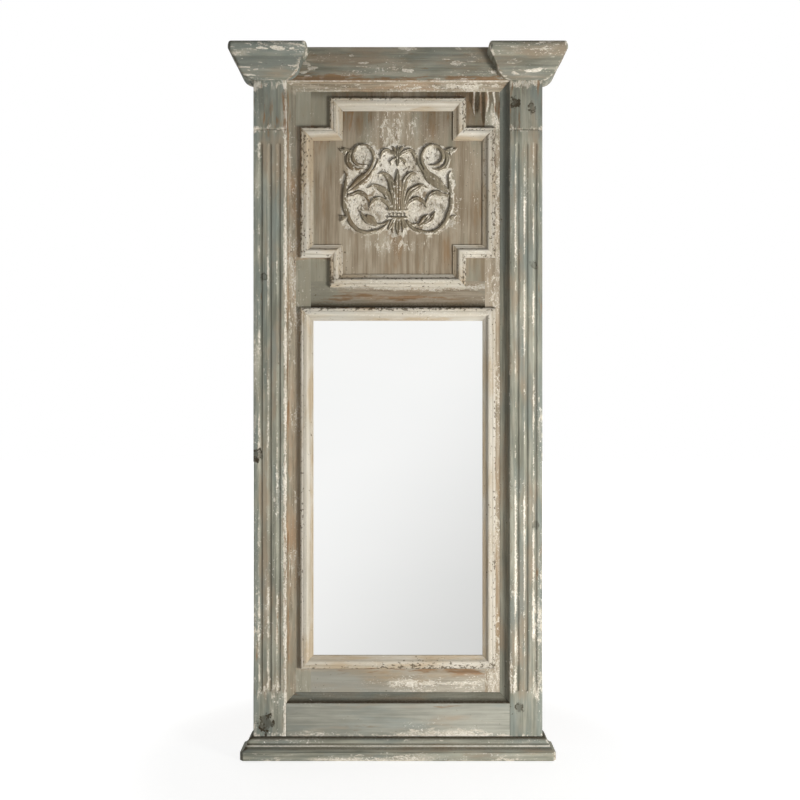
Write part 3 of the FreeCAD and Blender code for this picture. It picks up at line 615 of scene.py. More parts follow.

# %% [markdown]
# ## Wear of the pilasters
#
# The pilasters have a chalky grey-green coat. On each flute the wall that faces the lamp is rubbed to
# cream with a painted highlight and the other wall gets painted shade, knots have come through, and the
# outer edges are a little bluer.
# The two sides differ. Each could have a table of its own, but most of the wear is the same, so a side
# only lists what it has more.

# %% Wear of the pilasters
PILASTER_WEAR = {
    "everywhere": dict(cream=0.13, wood=0.12, warm=0.36, cool=0.34, pits=0.05),
    # The flute walls that turn from the lamp get painted shade
    "dull_walls": dict(dirt_and_shade=0.15),
    "outer_edge": dict(wood=0.06, warm=-0.30, cool=0.30),
    "inner_edge": dict(wood=0.16, pits=0.12),
    "neck": dict(cream=0.40),
    "flute_feet": dict(cream=0.12),
    "plain_top": dict(cream=-0.08, wood=0.14),
    "lower_part": dict(cream=0.10, wood=0.08, warm=0.16),
    "plinth": dict(cream=-0.12, wood=-0.16, warm=-0.40, cool=0.28),
    "sill": dict(cream=0.30),
    "knots": dict(dirt_and_shade=0.85),
    "stains": dict(dirt_and_shade=0.22),
}
# The lit flute walls get cream as wear and painted highlight, the left inner edge facing the lamp too
PILASTER_SIDES = {
    "left": {
        "lit_walls": dict(cream=0.31), "outer_edge": dict(cream=0.17), "inner_edge": dict(cream=0.44),
        "plain_top": dict(dirt_and_shade=0.02),
    },
    "right": {
        "lit_walls": dict(cream=0.43), "outer_edge": dict(cream=0.07), "inner_edge": dict(cream=0.08),
        "plain_top": dict(dirt_and_shade=0.14),
    },
}
print("pilaster wear:", len(PILASTER_WEAR), "places")

# %% [markdown]
# ## Walls of the flutes
#
# On each flute the wall that faces the lamp is rubbed to cream with a painted highlight, and the other
# wall gets painted shade. The walls could be marked on the mesh, but the flutes are cut by a boolean,
# which keeps no such marks. So the paint finds them by itself: the place across the pilaster, folded by
# the pitch of the flutes, is the place across one flute.

# %% Walls of the flutes
FLUTE_FADE = 0.006
SIDE_FADE = 0.002
RUBBED_EDGE = (0.38, 0.62)
# Places across a flute as distance from its middle and reach
LIT_WALL = (-FLUTE_WIDTH * 0.35, FLUTE_WIDTH * 0.45)
SHADED_WALL = (FLUTE_WIDTH * 0.38, FLUTE_WIDTH * 0.35)


def flute_walls(paint, side):
    """Masks of the fluted width and of the flute walls for painted highlight and painted shade."""
    x, _, z = paint.xyz
    aside = x - side * pilaster_middle
    across = (aside + fluted_half) % FLUTE_PITCH - FLUTE_PITCH / 2
    inside = paint.rise(abs(aside), fluted_half, fluted_half - SIDE_FADE)
    above_feet = paint.rise(z, flute_low_z - FLUTE_FADE, flute_low_z)
    below_heads = paint.rise(z, flute_high_z + FLUTE_FADE, flute_high_z)
    lines = inside * (above_feet * below_heads)
    rubbed = paint.rise(paint.pattern("rubbing"), *RUBBED_EDGE)
    return {
        "fluted_width": inside,
        "lit_walls": paint.near(across, *LIT_WALL) * lines * rubbed,
        "dull_walls": paint.near(across, *SHADED_WALL) * lines,
    }


print(f"a flute every {FLUTE_PITCH * 1000:.1f} mm")

# %% [markdown]
# ## Finish of the pilasters
#
# The other places of wear on a pilaster could be painted on by hand. Here they are found by sums on the
# object's own coordinates, so a mask is exact whatever the mesh. A little noise in the height makes the
# level bands wavy, as a brush or a cloth leaves them.

# %% Finish of the pilasters
WAVE_HEIGHT = 0.06
OUTER_REACH = 0.022
INNER_REACH = 0.011
TOP_FADE = 0.03
STAIN_EDGE = (0.48, 0.66)
# Heights at which a part starts and is full
LOWER_PART = (flute_high_z * 0.6, flute_low_z)
PLINTH = (flute_low_z + 0.010, flute_low_z - 0.030)
# Wavy level bands as height and reach
PILASTER_BANDS = {
    "neck_line": (crown_z - NECK_DROP, 0.014), "under_capital": (crown_z - 0.008, 0.022),
    "flute_feet": (flute_low_z, 0.045), "sill": (foot_z, 0.016),
}


def pilaster_paint(name, side):
    paint = Grained(f"pilaster_paint_{name}", "z")
    x, _, z = paint.xyz
    walls = flute_walls(paint, side)
    wavy_z = z + (paint.pattern("waves") - 0.5) * WAVE_HEIGHT
    bands = paint.bands(PILASTER_BANDS, wavy_z)
    plain_top = paint.rise(z, flute_high_z, flute_high_z + TOP_FADE)
    masks = walls | {
        "outer_edge": paint.near(abs(x), front_half, OUTER_REACH),
        "inner_edge": paint.near(abs(x), recess_half, INNER_REACH),
        "neck": bands["neck_line"].most(bands["under_capital"]),
        "flute_feet": bands["flute_feet"] * walls["fluted_width"],
        "plain_top": plain_top,
        "lower_part": paint.rise(z, *LOWER_PART),
        "plinth": paint.rise(wavy_z, *PLINTH),
        "sill": bands["sill"],
        "knots": knots(paint),
        "stains": paint.rise(paint.pattern("stains"), *STAIN_EDGE) * plain_top,
    }
    return finished(paint, GREY_COAT, masks, PILASTER_WEAR, PILASTER_SIDES[name])


pilaster_finish = {side: pilaster_paint(name, side) for name, side in (("left", -1), ("right", 1))}
print("pilaster finishes:", len(pilaster_finish))

# %% [markdown]
# ## Wear of the rails
#
# The top rail is brown where the coat went thin and has broad cream smears, as if wiped with a half dry
# brush. The bottom rail is paler and flakes where it meets the base. The side boards are plain. Each
# could be a material with its own sums, but their wear lies in level bands, so tables of bands are
# enough.

# %% Wear of the rails
# Each band as height and reach, or as height, reach, x and reach in x
TOP_RAIL_BANDS = {
    "lower_edge": (crown_z, 0.024), "over_edge": (crown_z + 0.02, 0.02), "upper_part": (top_z - 0.03, 0.03),
}
TOP_RAIL_WEAR = {
    "everywhere": dict(cream=0.08, wood=0.24, dirt_and_shade=0.23, warm=0.44, cool=0.20, pits=0.03),
    "lower_edge": dict(cream=0.10, wood=0.42),
    "over_edge": dict(cream=0.16),
    "upper_part": dict(cream=0.16),
    "smears": dict(cream=0.30),
}
BOTTOM_RAIL_BANDS = {
    "upper_edge": (rail_top_z, 0.010),
    "lower_edge": (foot_z, 0.026),
    "flaked_part": (foot_z, 0.050, 0.12, 0.22),
    "bare_part": (rail_top_z, 0.030, 0.12, 0.06),
    "scraped_part": (foot_z + 0.025, 0.02, -0.11, 0.09),
}
BOTTOM_RAIL_WEAR = {
    "everywhere": dict(cream=0.06, wood=0.06, dirt_and_shade=0.08, warm=0.22, cool=0.34, pits=0.03),
    "upper_edge": dict(cream=0.14),
    "lower_edge": dict(cream=0.30, wood=0.10),
    "flaked_part": dict(cream=0.26),
    "bare_part": dict(wood=0.55),
    "scraped_part": dict(wood=0.30),
}
SIDE_WEAR = {"everywhere": dict(cream=0.14, wood=0.08, warm=0.22, cool=0.34, pits=0.03)}
print("rail bands:", len(TOP_RAIL_BANDS), "and", len(BOTTOM_RAIL_BANDS))

# %% [markdown]
# ## Finish of the rails
#
# Rails have level grain and side boards upright grain, and otherwise they are painted alike. Three
# functions could say so, but one with the grain, the coat and the tables as its values is shorter. The
# smears of the top rail are a crisp mask along the grain, because dry paint leaves a hard edge.

# %% Finish of the rails
SMEAR_SHARE = 0.22
SMEAR_SOFTNESS = 0.012


def smears(paint):
    """Broad crisp smears along the grain."""
    return paint.cover(paint.pattern("smears"), SMEAR_SHARE, SMEAR_SOFTNESS)


def rail_paint(name, along, coat, wear, bands=()):
    paint = Grained(name, along)
    masks = paint.bands(bands)
    if "smears" in wear:
        masks["smears"] = smears(paint)
    return finished(paint, coat, masks, wear)


top_rail_finish = rail_paint("top_rail_paint", "x", GREY_COAT, TOP_RAIL_WEAR, TOP_RAIL_BANDS)
bottom_rail_finish = rail_paint("bottom_rail_paint", "x", PALE_COAT, BOTTOM_RAIL_WEAR, BOTTOM_RAIL_BANDS)
side_finish = rail_paint("side_paint", "z", GREY_COAT, SIDE_WEAR)
print("materials so far:", len(bpy.data.materials))

# %% [markdown]
# ## Wear of capitals and base
#
# Capitals and base stand out furthest, so their corners are knocked, and their hollows are darkened with
# dust and painted shade. The left corners get painted shade, the right ones cream with a painted
# highlight, and the top edge of the capitals dust and painted shade. The base also has painted shadow
# lines above and below its small bead, which is cream with a painted highlight. They could share one
# table, but the base lies near the floor and has bands of its own. So both add their own wear to a
# common table.

# %% Wear of capitals and base
ROUND_WEAR = {
    "everywhere": dict(cream=0.24, wood=0.12, dirt_and_shade=0.05, warm=0.30, cool=0.24, pits=0.03),
    "hollows": dict(cream=-0.20),
    "left_half": dict(cream=0.03, dirt_and_shade=-0.04, warm=-0.12, cool=0.30),
    # Painted shade on the left corners, cream as wear and painted highlight on the right ones
    "left_corner": dict(wood=0.15, dirt_and_shade=0.55),
    "right_corner": dict(cream=0.25),
}
# Dust and painted shade along the top edge of the capitals
CROWN_BANDS = {"top_edge_dust_and_shade": (top_z, 0.007)}
CROWN_WEAR = {
    "hollows": dict(dirt_and_shade=0.40),
    "inner_corners": dict(cream=0.34, wood=0.25),
    "smears": dict(cream=0.30),
    "top_edge_dust_and_shade": dict(dirt_and_shade=0.25),
}
# Painted shadow lines above and below the bead and under the rail, and cream with painted highlight on the
# bead
BASE_BANDS = {
    "floor_edge": (0.003, 0.008), "plain_face": (0.018, 0.008), "lower_shadow_line": (0.0265, 0.006),
    "bead_highlight": (0.0315, 0.0025), "upper_shadow_line": (0.0355, 0.003), "slope": (0.041, 0.005),
    "top_shadow_line": (foot_z - 0.001, 0.007),
}
BASE_WEAR = {
    "hollows": dict(dirt_and_shade=0.10),
    "floor_edge": dict(cream=0.12),
    "plain_face": dict(dirt_and_shade=-0.10),
    "lower_shadow_line": dict(cream=-0.20, dirt_and_shade=0.55),
    "bead_highlight": dict(cream=0.60),
    "upper_shadow_line": dict(cream=-0.20, dirt_and_shade=0.60),
    "slope": dict(cream=-0.06, wood=0.10),
    "top_shadow_line": dict(cream=-0.10, dirt_and_shade=0.85),
}
print("base bands:", len(BASE_BANDS))

# %% [markdown]
# ## Finish of capitals and base
#
# The paint has to know where the hollows are. The shader could look for them by itself, but that is slow
# and grainy. So the sticks will carry a "hollow" value on their points, made from their own outline, and
# the paint reads it. Corners are found where the distances from the front and from the side are alike.

# %% Finish of capitals and base
CORNER_REACH = 0.010
LEFT_HALF = (0.05, -0.05)
BREAK_EDGE = (0.42, 0.56)


def round_paint(name, along, bands, wear):
    """Paint for a stick that runs round the outside."""
    paint = Grained(f"{name}_paint_{along}", along)
    x, y, _ = paint.xyz
    left = paint.rise(x, *LEFT_HALF)
    broken = paint.rise(paint.pattern("breaks"), *BREAK_EDGE)
    outer = paint.near(abs(x) - front_half, face_y - y, CORNER_REACH)
    masks = paint.bands(bands) | {
        "hollows": paint.carried("hollow"),
        "left_half": left,
        "left_corner": outer * left,
        "right_corner": outer * (1.0 - left) * broken,
    }
    if "inner_corners" in wear:
        masks["inner_corners"] = paint.near(recess_half - abs(x), face_y - y, CORNER_REACH) * broken
        masks["smears"] = smears(paint)
    return finished(paint, GREY_COAT, masks, ROUND_WEAR, wear)


crown_finish = {along: round_paint("capital", along, CROWN_BANDS, CROWN_WEAR) for along in "xy"}
base_finish = {along: round_paint("base", along, BASE_BANDS, BASE_WEAR) for along in "xy"}
print("finishes for capitals and base:", len(crown_finish) + len(base_finish))

# %% [markdown]
# ## Wear of the raised mouldings
#
# The raised mouldings kept most of their cream undercoat, because the top coat was rubbed off every
# crest. Their outer rim is ragged and pitted, their hollows are darkened with dust and painted shade,
# and so are the faces that look up. The sticks on the right get painted shade. Every stick could have
# a table of its own, but they wear alike. So they share one, and upright sticks list what they have
# more.

# %% Wear of the raised mouldings
MOULD_WEAR = {
    "everywhere": dict(cream=0.28, wood=0.06, dirt_and_shade=0.02, warm=0.24, cool=0.28, pits=0.10),
    # Hollows: dust and painted shade
    "hollows": dict(cream=-0.15, dirt_and_shade=0.28),
    "rim": dict(cream=-0.15, wood=0.30, dirt_and_shade=0.06),
    "ragged_rim": dict(pits=0.20),
    "slope": dict(cream=-0.12, wood=0.08, warm=0.24),
    # Painted shade on the sticks on the right
    "right_side": dict(dirt_and_shade=0.11),
    "foot": dict(wood=0.04, pits=0.20),
    # Faces that look up above the glass: dust and painted shade
    "dusty": dict(dirt_and_shade=0.22, pits=0.20),
    "crest": dict(pits=0.14),
    "sill": dict(dirt_and_shade=0.10, pits=0.12),
}
# What upright sticks above the glass have more
UPRIGHT_WEAR = {"over_glass": dict(dirt_and_shade=0.08, warm=0.24, pits=0.14)}
print("wear of the mouldings:", len(MOULD_WEAR), "places")

# %% [markdown]
# ## Finish of the raised mouldings
#
# The sticks lie in four directions, so no coordinate tells the rim from the slope. The paint could be
# turned with each stick, but then every stick would need a material of its own. So the mesh tells the
# paint how far across the stick a point lies, and the direction of the surface finds the faces that
# look up, for dust and painted shade.

# %% Finish of the raised mouldings
mould_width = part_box("mirror_mould_bottom")[1].z - mirror_low_z
mould_height = field_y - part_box("mirror_mould_bottom")[0].y
MOULD_BANDS = {
    "crest": (mirror_high_z, mould_width * 0.5),
    "sill": (panel_low_z + mould_width * 0.7, mould_width * 0.7),
}
# Where a zone starts and where it is full, as shares of the stick's width
MOULD_ZONES = {"rim": (0.20, 0.03), "outer_half": (0.55, 0.05), "slope": (0.62, 0.86)}
# Where a part starts and is full
RAISED = (mould_height * 0.40, mould_height * 0.55)
RIGHT_STICKS = (frame_half - mould_width * 1.6, frame_half - mould_width)
LOWEST_STICK = (mirror_low_z + mould_width, mirror_low_z + mould_width * 0.5)
FOOT_PART = (-0.16, -0.02)
LOOKING_UP = (0.3, 0.8)


def mould_paint(along, *more_wear):
    """Cream, with a ragged outer rim and a tan inner slope."""
    paint = Grained(f"mould_paint_{along}", along)
    x, y, z = paint.xyz
    across = paint.carried("across")
    raised = paint.rise(field_y - y, *RAISED)
    over_glass = paint.rise(z, mirror_high_z, panel_low_z)
    low = paint.rise(z, *LOWEST_STICK)
    zones = {name: paint.rise(across, *zone) for name, zone in MOULD_ZONES.items()}
    masks = paint.bands(MOULD_BANDS) | zones | {
        "hollows": paint.carried("hollow"),
        "ragged_rim": raised * zones["outer_half"],
        "right_side": paint.rise(x, *RIGHT_STICKS),
        "over_glass": over_glass,
        "foot": low * paint.rise(x, *FOOT_PART),
        "dusty": paint.rise(paint.facing()[2], *LOOKING_UP) * over_glass,
    }
    return finished(paint, CREAM_COAT, masks, MOULD_WEAR, *more_wear)


mould_finish = {"x": mould_paint("x"), "z": mould_paint("z", UPRIGHT_WEAR)}
print(f"raised moulding {mould_width:.3f} wide, {mould_height:.3f} high")

# %% [markdown]
# ## Finish of the cove
#
# The hollow stick round the recess looks different on each side, because dust and cloths reach it from
# above, and because painted light and shade are added for a lamp low on the right. Top and left are
# rubbed to cream, partly as painted light, with a rusty line below the lip and painted shade deep in the
# cove. Bottom and right are dark with dirt and painted shade, most on their steep part. One material
# could sort the sides out by place, but a row of wear for every side, on the same masks, is easier to
# follow.

# %% Finish of the cove
cove_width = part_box("cove_bottom")[1].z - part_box("cove_bottom")[0].z
COVE_WEAR = {
    "everywhere": dict(wood=0.10, warm=0.30, cool=0.40, pits=0.10),
    "lip": dict(cream=0.30),
    "upper_part": dict(dirt_and_shade=0.14, cool=0.20),
}
# Depths at which a zone starts and is full, and lines as depth and reach
# The steep part and the deep part of the cove take painted shade
COVE_ZONES = {"steep": (field_y - 0.004, field_y - 0.014), "deep": (field_y - 0.012, field_y - 0.002)}
COVE_LINES = {"lip": (face_y, 0.005), "rusty_line": (face_y + 0.008, 0.006)}
# Heights, and distances below the top, at which a part starts and is full
COVE_UPPER = (mirror_high_z, panel_low_z + 0.1)
COVE_BELOW_TOP = (cove_width, cove_width * 1.5)
# Each side as its grain, its coat and its own wear
# Bottom and right are darkened all over with dirt and painted shade; top and left get cream as wear and
# painted light
COVE_SIDES = {
    "top": ("x", COVE_COAT, {
        "everywhere": dict(cream=0.32), "rusty_line": dict(cream=-0.06, wood=0.30),
        "deep": dict(dirt_and_shade=0.09)}),
    "bottom": ("x", GREY_COAT, {"everywhere": dict(cream=0.12, dirt_and_shade=0.42), "steep": dict(dirt_and_shade=0.46)}),
    "left": ("z", COVE_COAT, {
        "everywhere": dict(cream=0.24, dirt_and_shade=0.02), "rusty_line": dict(cream=-0.08, wood=0.40),
        "deep": dict(dirt_and_shade=0.12)}),
    "right": ("z", GREY_COAT, {"everywhere": dict(cream=0.08, dirt_and_shade=0.22), "steep": dict(dirt_and_shade=0.16)}),
}


def cove_paint(side, along, coat, wear):
    paint = Grained(f"cove_paint_{side}", along)
    _, y, z = paint.xyz
    below_top = paint.rise(crown_z - z, *COVE_BELOW_TOP)
    masks = {name: paint.rise(y, *zone) for name, zone in COVE_ZONES.items()}
    masks |= {name: paint.near(y, *line) for name, line in COVE_LINES.items()}
    masks["upper_part"] = paint.rise(z, *COVE_UPPER) * below_top
    return finished(paint, coat, masks, COVE_WEAR, wear)


cove_finish = {side: cove_paint(side, *row) for side, row in COVE_SIDES.items()}
print(f"cove {cove_width:.3f} wide on", len(cove_finish), "sides")

# %% [markdown]
# ## Runs on the field
#
# In the upper right corner cream paint ran down from the cove, over two boards of the recessed field.
# The runs could be drawn on each board, but would then break at the joint. So they are worked out from
# the place: x is folded into narrow rows with a run in each, and noise gives every run its length.

# %% Runs on the field
DRIP_PITCH = 0.016
DRIP_SWAY = 0.014
DRIP_SPREAD = 0.18
DRIP_FADE = 0.015
DRIP_WIDTH = DRIP_PITCH * 0.32
DRIP_LENGTH_SCALE = (55.0, 0.0, 0.0)
DRIP_LENGTH_NOISE = (1.0, 0.5, 16)
DRIP_LEFT = (0.165, 0.175)
DRIP_TOP_FADE = 0.001
DRIP_DROP = 0.17
drip_low_z = crown_z - DRIP_DROP


def drips(paint):
    """Cream runs in the upper right corner, the dark field between them, and the whole zone."""
    x, _, z = paint.xyz
    sway = (paint.pattern("sway") - 0.5) * DRIP_SWAY
    row = (x + sway) % DRIP_PITCH - DRIP_PITCH / 2
    lengths = paint.noise(paint.stretched(paint.place, DRIP_LENGTH_SCALE), *DRIP_LENGTH_NOISE)
    reach = lengths * DRIP_SPREAD + drip_low_z
    zone = paint.rise(x, *DRIP_LEFT) * paint.rise(z, reach, reach + DRIP_FADE)
    zone = zone * paint.rise(z, crown_z + DRIP_TOP_FADE, crown_z)
    runs = paint.near(row, 0.0, DRIP_WIDTH) * zone
    return {"runs": runs, "between_runs": zone - runs, "drip_zone": zone}


print(f"runs start at height {crown_z:.3f} and end above {drip_low_z:.3f}")

# %% [markdown]
# ## Grey-green corners
#
# On the left the corners of the field kept a grey-green wash, beside the cross and below the glass. Each
# board there could have a coat of its own, but the wash fades out in the middle of a board. So one mask
# by place gives it to every board that lies there.

# %% Grey-green corners
# Where the grey-green wash starts and is full, from the middle to the left
GREEN_BESIDE_CROSS = (-0.14, -0.18)
GREEN_BELOW_GLASS = (-0.06, -0.16)
GREEN_FADE = 0.02
CROSS_FADE = 0.012
GREEN_LOWER_STRENGTH = 0.5


def green_corners(paint):
    """The corners on the left, beside the cross and below the glass, where the wash is grey-green."""
    x, _, z = paint.xyz
    middle = (arm_low_z + arm_high_z) / 2
    arm_tall = arm_high_z - middle
    beside = paint.rise(abs(z - middle), arm_tall, arm_tall + CROSS_FADE)
    above_glass = paint.rise(z, mirror_high_z - GREEN_FADE, mirror_high_z)
    below_glass = paint.rise(z, mirror_low_z, mirror_low_z - GREEN_FADE)
    upper = paint.rise(x, *GREEN_BESIDE_CROSS) * beside * above_glass
    lower = paint.rise(x, *GREEN_BELOW_GLASS) * below_glass
    return upper + lower * GREEN_LOWER_STRENGTH


print(f"wash left of x = {GREEN_BESIDE_CROSS[0]} above and {GREEN_BELOW_GLASS[0]} below")

# %% [markdown]
# ## Wear of the field boards
#
# Behind the mouldings lie thin boards with a rubbed brown wash. The right half is rubbed more than the
# left, and on the stiles it is also lighter as painted light. Where a rail meets a moulding, bands of
# cream or bare wood follow the joint, and the band just above the glass is a painted shadow. One table
# for all boards would be simpler, but the joints are what makes them look like boards.

# %% Wear of the field boards
FIELD_WEAR = {
    "everywhere": dict(warm=0.26, cool=0.30),
    "runs": dict(cream=0.70),
    "between_runs": dict(dirt_and_shade=0.50),
    "drip_zone": dict(cream=-0.30, wood=0.28, warm=0.60),
    "green_corners": dict(cream=-0.10, dirt_and_shade=0.06, cool=1.20),
}
STILE_WEAR = {
    "everywhere": dict(cream=0.22, wood=0.06, pits=0.06),
    # More cream on the right, partly painted light where the right stile is lit
    "right_half": dict(cream=0.10, wood=0.08),
}
MIDDLE_BANDS = {
    "bare_streak": ((mirror_high_z + panel_low_z) / 2, 0.016, 0.0, 0.26),
    "over_glass": (mirror_high_z, 0.022),
    "under_cross": (panel_low_z, 0.014),
}
MIDDLE_WEAR = {
    "everywhere": dict(cream=0.14, wood=0.16, dirt_and_shade=0.26, pits=0.10),
    "right_half": dict(cream=0.06, wood=0.048),
    "bare_streak": dict(wood=0.50),
    # A painted shadow just above the mirror moulding
    "over_glass": dict(cream=-0.10, dirt_and_shade=0.75),
    "under_cross": dict(cream=0.32),
}
BOTTOM_BANDS = {
    "under_glass": (mirror_low_z - 0.008, 0.018, 0.05, 0.34),
    "over_cove": (mirror_low_z - 0.036, 0.014, 0.05, 0.30),
}
BOTTOM_WEAR = {
    "everywhere": dict(cream=0.12, wood=0.12, pits=0.10),
    "right_half": dict(cream=0.20, wood=0.16),
    "under_glass": dict(cream=-0.20, wood=0.34),
    "over_cove": dict(cream=0.23, wood=-0.10),
}
print("field wear:", len(FIELD_WEAR), "places on every board")

# %% [markdown]
# ## Finish of the field boards
#
# The stiles have upright grain and the rails have level grain. One material could cover them all, but
# then the grain would run on across the joints. So each kind of board has its own finish from the same
# function.

# %% Finish of the field boards
RIGHT_HALF = (-0.1, 0.1)


def field_paint(name, along, coat, wear, bands=()):
    paint = Grained(name, along)
    masks = paint.bands(bands) | drips(paint)
    masks["green_corners"] = green_corners(paint)
    masks["right_half"] = paint.rise(paint.xyz[0], *RIGHT_HALF)
    return finished(paint, coat, masks, FIELD_WEAR, wear)


stile_finish = field_paint("stile_paint", "z", TAUPE_COAT, STILE_WEAR)
middle_finish = field_paint("field_middle_paint", "x", TAUPE_COAT, MIDDLE_WEAR, MIDDLE_BANDS)
bottom_finish = field_paint("field_bottom_paint", "x", WARM_COAT, BOTTOM_WEAR, BOTTOM_BANDS)
print("field boards: stiles, middle and bottom rail")

# %% [markdown]
# ## Ground of the carving
#
# Round the carving the brush never reached, so there the cream undercoat shows. The patch could follow
# the outline of the carving exactly, but on the real panel it is a ragged blot. So the ground is a few
# ovals that run together, with an edge that is broken by noise.

# %% Ground of the carving
carving_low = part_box("carving_palmette")[0]
carving_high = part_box("carving_crest")[1]
# Ovals on the right half as (x, z above the foot of the carving, half width, half height)
GROUND_OVALS = (
    (0.078, 0.052, 0.062, 0.050), (0.098, 0.125, 0.040, 0.050), (0.082, 0.190, 0.040, 0.034),
    (0.0, 0.125, 0.066, 0.075), (0.0, 0.030, 0.030, 0.034), (0.0, 0.195, 0.050, 0.026),
)
GROUND_EDGE_SCALE = (55.0, 55.0, 55.0)
GROUND_EDGE_NOISE = (4.0, 0.6, 12)
GROUND_EDGE = (1.12, 0.86)
GROUND_RAGGED = 0.9


def carving_ground(paint):
    """The ragged ovals of cream round the carving, as one mask."""
    x, _, z = paint.xyz
    edge = paint.noise(paint.stretched(paint.place, GROUND_EDGE_SCALE), *GROUND_EDGE_NOISE)
    ragged = (edge - 0.5) * GROUND_RAGGED
    ground = 0.0
    for middle_x, middle_z, half_x, half_z in GROUND_OVALS:
        apart = paint.vector((abs(x) - middle_x) / half_x, 0.0, (z - carving_low.z - middle_z) / half_z)
        ground = paint.rise(paint.length(apart) + ragged, *GROUND_EDGE).most(ground)
    return ground


print("ground of", len(GROUND_OVALS), "ovals, mirrored")

# %% [markdown]
# ## Wear of the upper panel
#
# The cream ground of the carving is stained and pitted. Above and below it the brown wash is rubbed
# thin, and the corners of the panel are darkest, because no cloth reached them. The panel could have
# random wear all over, but then the carving would lose its pale setting. So each of these places has a
# row of its own.

# %% Wear of the upper panel
PANEL_BANDS = {
    "upper_patch": (carving_high.z + 0.03, 0.09, 0.01, 0.15),
    "lower_patch": (carving_low.z - 0.022, 0.045, -0.02, 0.16),
    "top_part": (panel_high_z - 0.03, 0.10),
    "under_cove": (crown_z - cove_width, 0.024),
}
PANEL_WEAR = {
    "everywhere": dict(cream=0.10, wood=0.10, warm=0.26, cool=0.28, pits=0.06),
    "ground": dict(cream=0.45, pits=0.18),
    "stained_ground": dict(cream=-0.10, dirt_and_shade=0.26),
    "upper_patch": dict(cream=0.28),
    "lower_patch": dict(cream=0.33),
    "runs": dict(cream=0.60),
    "between_runs": dict(dirt_and_shade=0.50),
    "drip_zone": dict(wood=0.28, warm=0.60),
    "top_corners": dict(cream=-0.08, wood=0.26, dirt_and_shade=0.34, warm=0.30),
    "green_corners": dict(dirt_and_shade=0.08, cool=1.20),
    "right_part": dict(dirt_and_shade=0.06),
    "eaves": dict(dirt_and_shade=0.40),
}
print("panel wear:", len(PANEL_WEAR), "places")

# %% [markdown]
# ## Finish of the upper panel
#
# The panel is one wide board, so all these places meet in one material. It could be cut into fields with
# a material each, but the edges between them would show. So masks are multiplied: the stains keep to the
# ground, and the dark corners leave the grey-green wash alone.

# %% Finish of the upper panel
GROUND_STAIN_SCALE = (30.0, 30.0, 30.0)
GROUND_STAIN_NOISE = (3.0, 0.6, 33)
GROUND_STAIN_EDGE = (0.48, 0.64)
# Where a part starts and is full, from the middle outwards
TOP_CORNERS = (0.02, 0.07)
RIGHT_PART = (0.05, 0.15)


def panel_paint():
    paint = Grained("panel_paint", "z")
    x = paint.xyz[0]
    stains = paint.noise(paint.stretched(paint.place, GROUND_STAIN_SCALE), *GROUND_STAIN_NOISE)
    masks = paint.bands(PANEL_BANDS) | drips(paint)
    masks["ground"] = carving_ground(paint)
    masks["stained_ground"] = masks["ground"] * paint.rise(stains, *GROUND_STAIN_EDGE)
    masks["green_corners"] = green_corners(paint)
    not_green = 1.0 - masks["green_corners"]
    masks["top_corners"] = paint.rise(abs(x), *TOP_CORNERS) * masks["top_part"] * not_green
    masks["right_part"] = paint.rise(x, *RIGHT_PART)
    masks["eaves"] = masks["under_cove"] * (1.0 - masks["drip_zone"])
    return finished(paint, BROWN_COAT, masks, PANEL_WEAR)


panel_finish = panel_paint()
print("panel nodes:", len(panel_finish.node_tree.nodes))

# %% [markdown]
# ## Finish of the carving
#
# The carving is washed brown, with cream left where the relief dips. The slopes that look up and to the
# left are darkened with dust and painted shade, and the slopes on the other side get cream as a painted
# highlight. Lamps alone could bring the relief out, but only in one light. The direction of the surface
# tells the slopes apart, so this painted light and shade make the carving read even in flat light.

# %% Finish of the carving
RUBBING_SCALE = (130.0, 130.0, 130.0)
RUBBING_NOISE = (3.0, 0.6, 14)
# Weights of looking up and looking left, which give dust and painted shade; the other way a painted
# highlight
UPWARD_DUST_AND_SHADE = 0.8
LEFTWARD_SHADE = 0.6
HIGHLIGHTED_SLOPE = (-0.10, -0.70)
DUSTY_SHADED_SLOPE = (0.10, 0.70)
RUBBED_RELIEF = (0.46, 0.66)
RAISED_DEPTHS = (field_y - 0.0005, carving_low.y + 0.003)
CARVING_WEAR = {
    "everywhere": dict(cream=0.34, wood=0.06, dirt_and_shade=0.10, warm=0.26, cool=0.30, pits=0.03),
    "raised": dict(cream=-0.28, dirt_and_shade=-0.10),
    "rubbed": dict(cream=0.30),
    # Cream as a painted highlight on the slopes that face the lamp
    "highlighted_slopes": dict(cream=0.30),
    # Dust and painted shade on the slopes that look up and left
    "dusty_shaded_slopes": dict(cream=-0.20, dirt_and_shade=0.34),
}


def carving_paint():
    paint = Grained("carving_paint", "z")
    right, _, up = paint.facing()
    slant = up * UPWARD_DUST_AND_SHADE - right * LEFTWARD_SHADE
    rubbing = paint.noise(paint.stretched(paint.place, RUBBING_SCALE), *RUBBING_NOISE)
    masks = {
        "raised": paint.rise(paint.xyz[1], *RAISED_DEPTHS),
        "rubbed": paint.rise(rubbing, *RUBBED_RELIEF),
        "highlighted_slopes": paint.rise(slant, *HIGHLIGHTED_SLOPE),
        "dusty_shaded_slopes": paint.rise(slant, *DUSTY_SHADED_SLOPE),
    }
    return finished(paint, CARVED_COAT, masks, CARVING_WEAR)


carving_finish = carving_paint()
print(f"carving stands {field_y - carving_low.y:.3f} proud of the panel")

# %% [markdown]
# ## Raw wood
#
# The back of such a mirror is plain softwood and hardboard that was never painted. A photograph of wood
# could be laid on it, but a picture has one scale and has to be unwrapped. So the wood is noise that is
# drawn far out along the grain and folded into rings, with a finer noise for the fibres.

